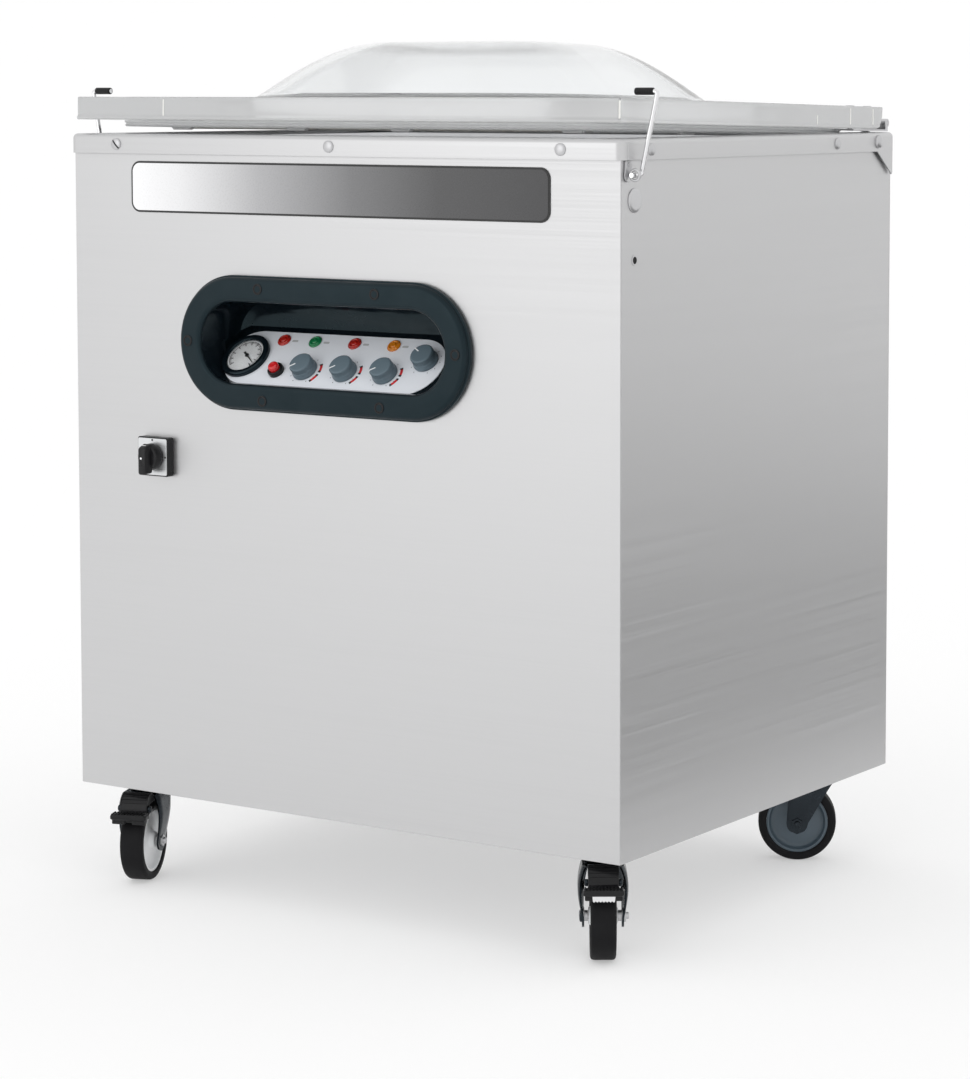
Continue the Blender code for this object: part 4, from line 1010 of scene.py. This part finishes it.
def latch_eye(side, sign, pivot):
    """Strap from under the cover's skirt, ending in a round eye for the wire."""
    place = axes((sign * (HALF_W + 0.0003), pivot.y, pivot.z), sign * X, Z)
    outline = [(0.0158, -0.0065), (0.0158, 0.0065)] + arc(0, 0, 0.0080, 60, 300, 14)
    strap = loft(bmesh.new(), [flat(outline, 0), flat(outline, 0.0022)])
    piece("eye_strap_" + side, strap, STEEL_SMALL, "cabinet", "stainless", ("latch_eye_" + side,),
          matrix=place, bevel=0.0005)
    ring = [(0.0060 + 0.0016 * math.cos(a),
             0.0016 * math.sin(a)) for a in (math.tau * i / 14 for i in range(14))]
    turned("eye_ring_" + side, ring, 40, STEEL_SMALL, "cabinet", "stainless",
           matrix=axes(pivot, Y, X))
    rivet = fillet([(0, 0), (0.0024, 0), (0.0020, 0.0010), (0, 0.0013)], 0.0004)
    at = place @ Matrix.Translation((0.0118, 0, 0.0022))
    turned("eye_rivet_" + side, rivet, 24, SCREW_STEEL, "cabinet", "stainless", matrix=at)


# ---------------------------------------------------------------- casters
def fork_leg(name, label, sign, place, body, reach, braked):
    """Pressed leg: flat towards the wheel's front, rolled inwards along its rear edge."""
    side, sheet, boss, axle_z, top = 0.019, 0.0025, 0.0135, 0.050, 0.1096
    front_top, rear_top = (-0.046, 0.026) if braked else (-0.036, 0.021)
    rows = []
    levels, across = 20, 16
    for i in range(levels + 1):
        z = top - (top - axle_z + boss * 0.999) * i / levels
        drop = (top - z) / (top - axle_z)
        if z >= axle_z:
            ease = drop ** 0.8
            front = front_top + (-reach - boss - front_top) * ease
            rear = rear_top + (-reach + boss - rear_top) * ease
        else:
            half = math.sqrt(max(boss ** 2 - (axle_z - z) ** 2, 1e-10))
            front, rear = -reach - half, -reach + half
        swell = 0.0050 * math.sin(math.pi * min(drop, 1.0) ** 0.8)
        row = []
        for k in range(across + 1):
            t = k / across
            y = front + (rear - front) * t
            roll = max(0.0, (t - 0.55) / 0.45) ** 2 * 0.012 * max(0.0, 1 - drop)
            lip = max(0.0, (0.10 - t) / 0.10) ** 2 * 0.0030 * max(0.0, 1 - drop)
            x = side + sheet + swell - roll - lip
            row.append(Vector((sign * x, y, z)))
        rows.append(row)
    bm = bmesh.new()
    verts = [[bm.verts.new(point) for point in row] for row in rows]
    for low, high in zip(verts, verts[1:]):
        for k in range(across):
            quad = (low[k], low[k + 1], high[k + 1], high[k])
            bm.faces.new(quad if sign > 0 else tuple(reversed(quad)))
    mesh = bpy.data.meshes.new(f"fork_leg_{label}_{name}")
    bm.normal_update()
    bm.to_mesh(mesh)
    bm.free()
    replaced = ("caster_fork_" + name,) if sign < 0 else ()
    leg = dress(mesh.name, mesh, DARK_ZINC, body, replaced, place, smooth=60)
    shell = leg.modifiers.new("sheet", "SOLIDIFY")
    shell.thickness = sheet
    shell.offset = -1.0
    soften(leg, 0.0006)


def caster(name):
    """Fork, wheel and tyre of one caster, all placed from its two joints."""
    swivel = Vector(JOINTS[f"swivel_{name}_turn"]["pos_m"])
    roll = JOINTS[f"wheel_{name}_roll"]
    centre_at = Vector(roll["pos_m"])
    axle = Vector(roll["axis"])
    body = "swivel_" + name
    braked = name.startswith("front")
    reach = Vector((centre_at.x - swivel.x, centre_at.y - swivel.y, 0)).length
    # Local frame: X along the axle, -Y towards the trailing wheel, origin on the floor below the swivel.
    place = axes(Vector((swivel.x, swivel.y, 0)), Z, axle)
    top, side, sheet = 0.1096, 0.019, 0.0025
    for label, sign in (("left", -1), ("right", 1)):
        fork_leg(name, label, sign, place, body, reach, braked)
    front_edge = -reach + 0.001 if braked else -0.033
    crown = rounded(-side - 0.0022, side + 0.0022, front_edge, 0.0215 if braked else 0.018, 0.006, 6)
    lower = rounded(-side + 0.001, side - 0.001, front_edge, 0.0185 if braked else 0.015, 0.005, 6)
    rings = [flat(lower, top - 0.0045), flat(crown, top - 0.0030), flat(crown, top)]
    piece("fork_crown_" + name, loft(bmesh.new(), rings), DARK_ZINC, body, "zinc_steel", matrix=place,
          bevel=0.0008)
    axle_frame = axes(centre_at, axle, Z)
    back_frame = axes(centre_at, -axle, Z)
    head = side + sheet
    nut_look = SCREW_STEEL if braked else DARK_ZINC
    nut = lathe(bmesh.new(), [(0, head), (0.0078, head), (0.0078, head + 0.0050), (0, head + 0.0050)], 6)
    piece("axle_nut_" + name, nut, nut_look, body, "zinc_steel", matrix=axle_frame, bevel=0.0008)
    stub = fillet([(0, head), (0.0040, head), (0.0040, head + 0.0076), (0.0030, head + 0.0084),
                   (0, head + 0.0086)], 0.0006)
    turned("axle_stub_" + name, stub, 24, nut_look, body, "zinc_steel", matrix=axle_frame)
    for label, turn in (("left", back_frame), ("right", axle_frame)):
        ring = [(0, head - 0.0002), (0.0094, head - 0.0002), (0.0094, head + 0.0012), (0, head + 0.0012)]
        turned(f"axle_washer_{label}_{name}", ring, 32, SCREW_STEEL, body, "zinc_steel",
               matrix=turn, bevel=0.0003)
    bolt = [(0.0001, head + 0.0030), (0.0034, head + 0.0030), (0.0038, head + 0.0052),
            (0.0046, head + 0.0056)]
    bolt += [(0.0066, head + 0.0050), (0.0074, head + 0.0038), (0.0074, head + 0.0010),
             (0.0001, head + 0.0010)]
    turned("axle_bolt_" + name, bolt, 32, DARK_ZINC, body, "zinc_steel", matrix=back_frame)
    spacer = [(0.0, -head), (0.0064, -head), (0.0064, -0.0172), (0.0040, -0.0172), (0.0040, 0.0172)]
    spacer += [(0.0064, 0.0172), (0.0064, head), (0.0, head)]
    turned("axle_shaft_" + name, spacer, 28, SCREW_STEEL, body, "zinc_steel", matrix=axle_frame)
    wheel = "wheel_" + name
    hub = [(0.0043, 0.0168), (0.0092, 0.0168), (0.0106, 0.0150), (0.0124, 0.0104), (0.0170, 0.0082)]
    hub += [(0.0300, 0.0058), (0.0338, 0.0066), (0.0352, 0.0092), (0.0357, 0.0126), (0.0366, 0.0134)]
    hub += [(0.0378, 0.0134), (0.0384, 0.0128), (0.0394, 0.0128)]
    hub = fillet(hub, 0.0014, 4)
    profile = hub + [(r, -z) for r, z in reversed(hub)]
    # Front hubs are light grey. Rear hubs take the darker copy, which is painted shade.
    turned("wheel_centre_" + name, profile, 80, HUB_LIGHT if braked else HUB_SHADED_GREY, wheel,
           "hub_grey", ("caster_wheel_" + name,), matrix=axle_frame)
    half = [(0.0396, 0.0136), (0.0406, 0.0144), (0.0430, 0.0150), (0.0470, 0.0148), (0.0490, 0.0136)]
    half += [(0.0499, 0.0112), (0.0500, 0.0080)]
    half = fillet(half, 0.0012, 3)
    profile = half + [(r, -z) for r, z in reversed(half)]
    turned("tyre_" + name, profile, 112, RUBBER, wheel, "tyre_rubber",
           ("caster_tyre_" + name,), matrix=axle_frame)
    if braked:
        brake_pedal(name)


def brake_pedal(name):
    """Two-step ribbed pedal: hooded upper tread, wide lower lip with a steel brake strip under it."""
    joint = JOINTS[f"pedal_{name}_press"]
    place = axes(joint["pos_m"], Z, joint["axis"])
    body = "pedal_" + name
    wide = 0.0176
    over = arc(-0.0120, -0.0080, 0.0165, 62, 168, 14)
    hood = [(0.0035, -0.0028), (0.0035, 0.0030)] + over + [(-0.0300, -0.0090), (-0.0340, -0.0108)]
    under = [(-0.0480, -0.0135), (-0.0500, -0.0160), (-0.0480, -0.0190), (-0.0330, -0.0160),
             (-0.0200, -0.0040)]
    piece("pedal_body_" + name, prism(bmesh.new(), hood + under, -wide, wide), BLACK_PLASTIC, body,
          "pedal_plastic", ("brake_pedal_" + name,), matrix=place, bevel=0.0012)
    ribs = bmesh.new()
    for i in range(6):
        angle = math.radians(68 + 17 * i)
        at = Matrix.Translation((0, -0.0120 + 0.0165 * math.cos(angle), -0.0080 + 0.0165 * math.sin(angle)))
        block(ribs, (-wide * 0.94, -0.0008, -0.0020), (wide * 0.94, 0.0008, 0.0009),
              at @ Matrix.Rotation(angle - math.pi / 2, 4, "X"))
    for x in (-wide * 0.97, wide * 0.97):
        rim = arc(-0.0120, -0.0080, 0.0176, 64, 166, 12) + arc(-0.0120, -0.0080, 0.0150, 166, 64, 12)
        prism(ribs, rim, x - 0.0006, x + 0.0006)
    piece("pedal_hood_ribs_" + name, ribs, BLACK_PLASTIC, body, "pedal_plastic", matrix=place, bevel=0.0003)
    rings = []
    for grow, z in ((-0.0014, -0.0180), (0, -0.0166), (0, -0.0128), (-0.0014, -0.0112)):
        rings.append(flat(rounded(-0.0235 - grow, 0.0235 + grow, -0.0508 - grow, -0.0335 + grow, 0.0035, 5),
                          z))
    piece("pedal_lip_" + name, loft(bmesh.new(), rings), BLACK_PLASTIC, body, "pedal_plastic", matrix=place,
          bevel=0.0004)
    teeth = bmesh.new()
    for i in range(12):
        x = -0.0209 + 0.0038 * i
        block(teeth, (x - 0.0009, -0.0496, -0.0120), (x + 0.0009, -0.0345, -0.0101))
    piece("pedal_lip_ribs_" + name, teeth, BLACK_PLASTIC, body, "pedal_plastic", matrix=place, bevel=0.0004)
    feet = bmesh.new()
    for low, high in ((-0.0215, -0.0045), (0.0045, 0.0215)):
        block(feet, (low, -0.0480, -0.0235), (high, -0.0420, -0.0176))
    block(feet, (-0.0120, -0.0462, -0.0215), (0.0120, -0.0420, -0.0176))
    piece("pedal_feet_" + name, feet, BLACK_PLASTIC, body, "pedal_plastic", matrix=place, bevel=0.0014)
    edge = [(0.0130, -0.0170), (-0.0130, -0.0170)]
    for i in range(7):
        x = -0.0130 + 0.0260 * i / 7
        edge += [(x + 0.0006, -0.0232), (x + 0.0019, -0.0246), (x + 0.0031, -0.0232)]
    strip = [[Vector((x, y, z)) for x, z in edge] for y in (-0.0496, -0.0484)]
    if name == "front_right":
        piece("brake_strip_" + name, loft(bmesh.new(), strip), BRIGHT_WIRE, body, "zinc_steel", matrix=place)
    pin = fillet([(0, 0.0176), (0.0042, 0.0176), (0.0042, 0.0206), (0.0030, 0.0216), (0, 0.0218)], 0.0006)
    for label, turn in (("left", 180), ("right", 0)):
        at = place @ Matrix.Translation((0, -0.0225, -0.0085)) @ Matrix.Rotation(math.radians(90 + turn), 4,
                                                                                 "Y")
        turned(f"pedal_rivet_{label}_{name}", pin, 24, DARK_ZINC, body, "zinc_steel", matrix=at)


# ---------------------------------------------------------------- rear and chamber
def rear_fittings():
    low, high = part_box("power_inlet")
    mid = (low + high) / 2

    def outline(a, b, y, radius=0.003):
        return upright(rounded(mid.x - a, mid.x + a, mid.z - b, mid.z + b, radius, 5), y)

    y = low.y
    rings = [outline(0.030, 0.022, y), outline(0.030, 0.022, y + 0.0022), outline(0.029, 0.021, y + 0.0030)]
    rings += [outline(0.022, 0.015, y + 0.005), outline(0.0218, 0.0148, y + 0.0152),
              outline(0.0210, 0.0140, high.y)]
    rings += [outline(0.0142, 0.0102, high.y), outline(0.0135, 0.0095, high.y - 0.001),
              outline(0.0135, 0.0095, y + 0.003)]
    piece("inlet_shell", loft(bmesh.new(), rings), BLACK_PLASTIC, "cabinet", "black_plastic",
          ("power_inlet",))
    pins = bmesh.new()
    for dx, dz in ((-0.007, -0.002), (0.0, 0.0025), (0.007, -0.002)):
        block(pins, (mid.x + dx - 0.0010, y + 0.003, mid.z + dz - 0.0022),
              (mid.x + dx + 0.0010, y + 0.0125, mid.z + dz + 0.0022))
    piece("inlet_pins", pins, BRIGHT_WIRE, "cabinet", "zinc_wire", bevel=0.0003)
    for i, sign in enumerate((-1, 1), 1):
        screw(f"inlet_screw_{i}", (mid.x + sign * 0.0258, y + 0.0028, mid.z), Y, 0.0028, 0.0012, 30 * sign)
    spots = random.Random(7)
    for i, x in enumerate((-0.385, 0.385)):
        for k, z in enumerate((0.03, 0.28, 0.53, 0.77)):
            at = (x, BACK_Y, BASE_Z + z)
            screw(f"rear_screw_{i}_{k}", at, Y, 0.0048, 0.0022, spots.uniform(0, 180))
    for side, sign in (("left", -1), ("right", 1)):
        low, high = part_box("hinge_bracket_" + side)
        for k, dz in enumerate((0.010, 0.036)):
            at = (centre("hinge_bracket_" + side).x, BACK_Y + 0.0078, low.z + dz)
            screw(f"bracket_screw_{side}_{k}", at, Y, 0.0050, 0.0024, spots.uniform(0, 180))


def sealing_tape():
    """Brown non-stick tape over the heating wire on the sealing bar."""
    low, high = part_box("sealing_bar")
    tape = moulded("woven_tape", (0.30, 0.16, 0.07), 0.35, 1500, 0.00006)
    mid = (low.y + high.y) / 2
    outline = [(mid - 0.0075, high.z), (mid - 0.0073, high.z + FILM), (mid - 0.002, high.z + 0.0003)]
    outline += [(mid, high.z + 0.0007), (mid + 0.002, high.z + 0.0003), (mid + 0.0073, high.z + FILM),
                (mid + 0.0075, high.z)]
    piece("sealing_tape", prism(bmesh.new(), outline, low.x + 0.004, high.x - 0.004), tape, "sealing_bar",
          "bar_aluminium")
    for i, x in enumerate((low.x + 0.002, high.x - 0.002)):
        bm = block(bmesh.new(), (x - 0.0018, mid - 0.006, high.z - 0.004),
                   (x + 0.0018, mid + 0.006, high.z + 0.0006))
        piece(f"wire_clamp_{i}", bm, SCREW_STEEL, "sealing_bar", "stainless", bevel=0.0004)


# ---------------------------------------------------------------- stage
def area_light(name, at, target, size, power, colour=(1, 1, 1)):
    light = bpy.data.lights.new(name, "AREA")
    light.shape = "RECTANGLE"
    light.size, light.size_y = size
    light.energy = power
    light.color = colour
    obj = bpy.data.objects.new(name, light)
    bpy.context.collection.objects.link(obj)
    obj.location = at
    obj.rotation_euler = (Vector(target) - Vector(at)).to_track_quat("-Z", "Y").to_euler()
    return obj


def stage():
    white = (1.0, 1.0, 1.0, 1.0)
    glow = {"Emission_Color": white, "Emission_Strength": 0.38, "Specular_IOR_Level": 0.0}
    floor_mat = shader("pale_floor", (0.62, 0.62, 0.62), 0.55, **glow)
    vary_roughness(floor_mat, 0.5, 0.6, 3.0)
    bm = bmesh.new()
    sweep = [(-9.0, 0.0), (4.0, 0.0)]
    sweep += [(4.0 + 2.0 * math.sin(a), 2.0 - 2.0 * math.cos(a))
              for a in (math.radians(9 * i) for i in range(1, 11))]
    sweep.append((6.0, 9.0))
    rows = [[bm.verts.new((x, y, z)) for y, z in sweep] for x in (-12, 12)]
    for i in range(len(sweep) - 1):
        bm.faces.new((rows[0][i], rows[1][i], rows[1][i + 1], rows[0][i + 1]))
    mesh = bpy.data.meshes.new("floor")
    bm.to_mesh(mesh)
    bm.free()
    mesh.shade_smooth()
    mesh.materials.append(floor_mat)
    floor = bpy.data.objects.new("floor", mesh)
    bpy.context.collection.objects.link(floor)
    bpy.context.scene.view_settings.view_transform = "Standard"
    world = bpy.data.worlds.new("studio")
    bpy.context.scene.world = world
    world.use_nodes = True
    world.node_tree.nodes["Background"].inputs["Color"].default_value = white
    world.node_tree.nodes["Background"].inputs["Strength"].default_value = 1.0
    area_light("key", (-1.4, -3.9, 1.4), (0, 0, 0.5), (2.4, 2.2), 14)
    flag_mat = shader("grey_flag", (0.30, 0.30, 0.30), 0.9)
    vary_roughness(flag_mat, 0.85, 0.95, 3.0)
    bm = bmesh.new()
    corners = ((0.75, -0.1, 0.004), (3.2, -0.1, 0.004), (4.2, 3.4, 0.004), (0.75, 3.4, 0.004))
    bm.faces.new([bm.verts.new(corner) for corner in corners])
    mesh = bpy.data.meshes.new("floor_flag")
    bm.to_mesh(mesh)
    bm.free()
    mesh.materials.append(flag_mat)
    flag = bpy.data.objects.new("floor_flag", mesh)
    bpy.context.collection.objects.link(flag)
    flag.visible_camera = False
    flag.visible_shadow = False
    flag.visible_diffuse = False
    flag.visible_transmission = False


def camera():
    data = bpy.data.cameras.new("camera")
    data.sensor_width = 36.0
    data.lens = 105.9
    data.shift_x = -0.0677
    data.shift_y = -0.1923
    data.clip_end = 100
    obj = bpy.data.objects.new("camera", data)
    bpy.context.collection.objects.link(obj)
    obj.location = Vector((HALF_W, FACE_Y, BASE_Z)) + Vector((1.864, -2.982, 0.872))
    obj.rotation_euler = (math.radians(85.62), 0, math.radians(33.14))
    bpy.context.scene.camera = obj


camera()
stage()
carried_over_nodes()
top_cover()
cover_screws()
side_fittings()
nameplate()
control_bezel()
control_panel()
main_switch()
lid()
latches()
for caster_name in CASTER_NAMES:
    caster(caster_name)
rear_fittings()
sealing_tape()
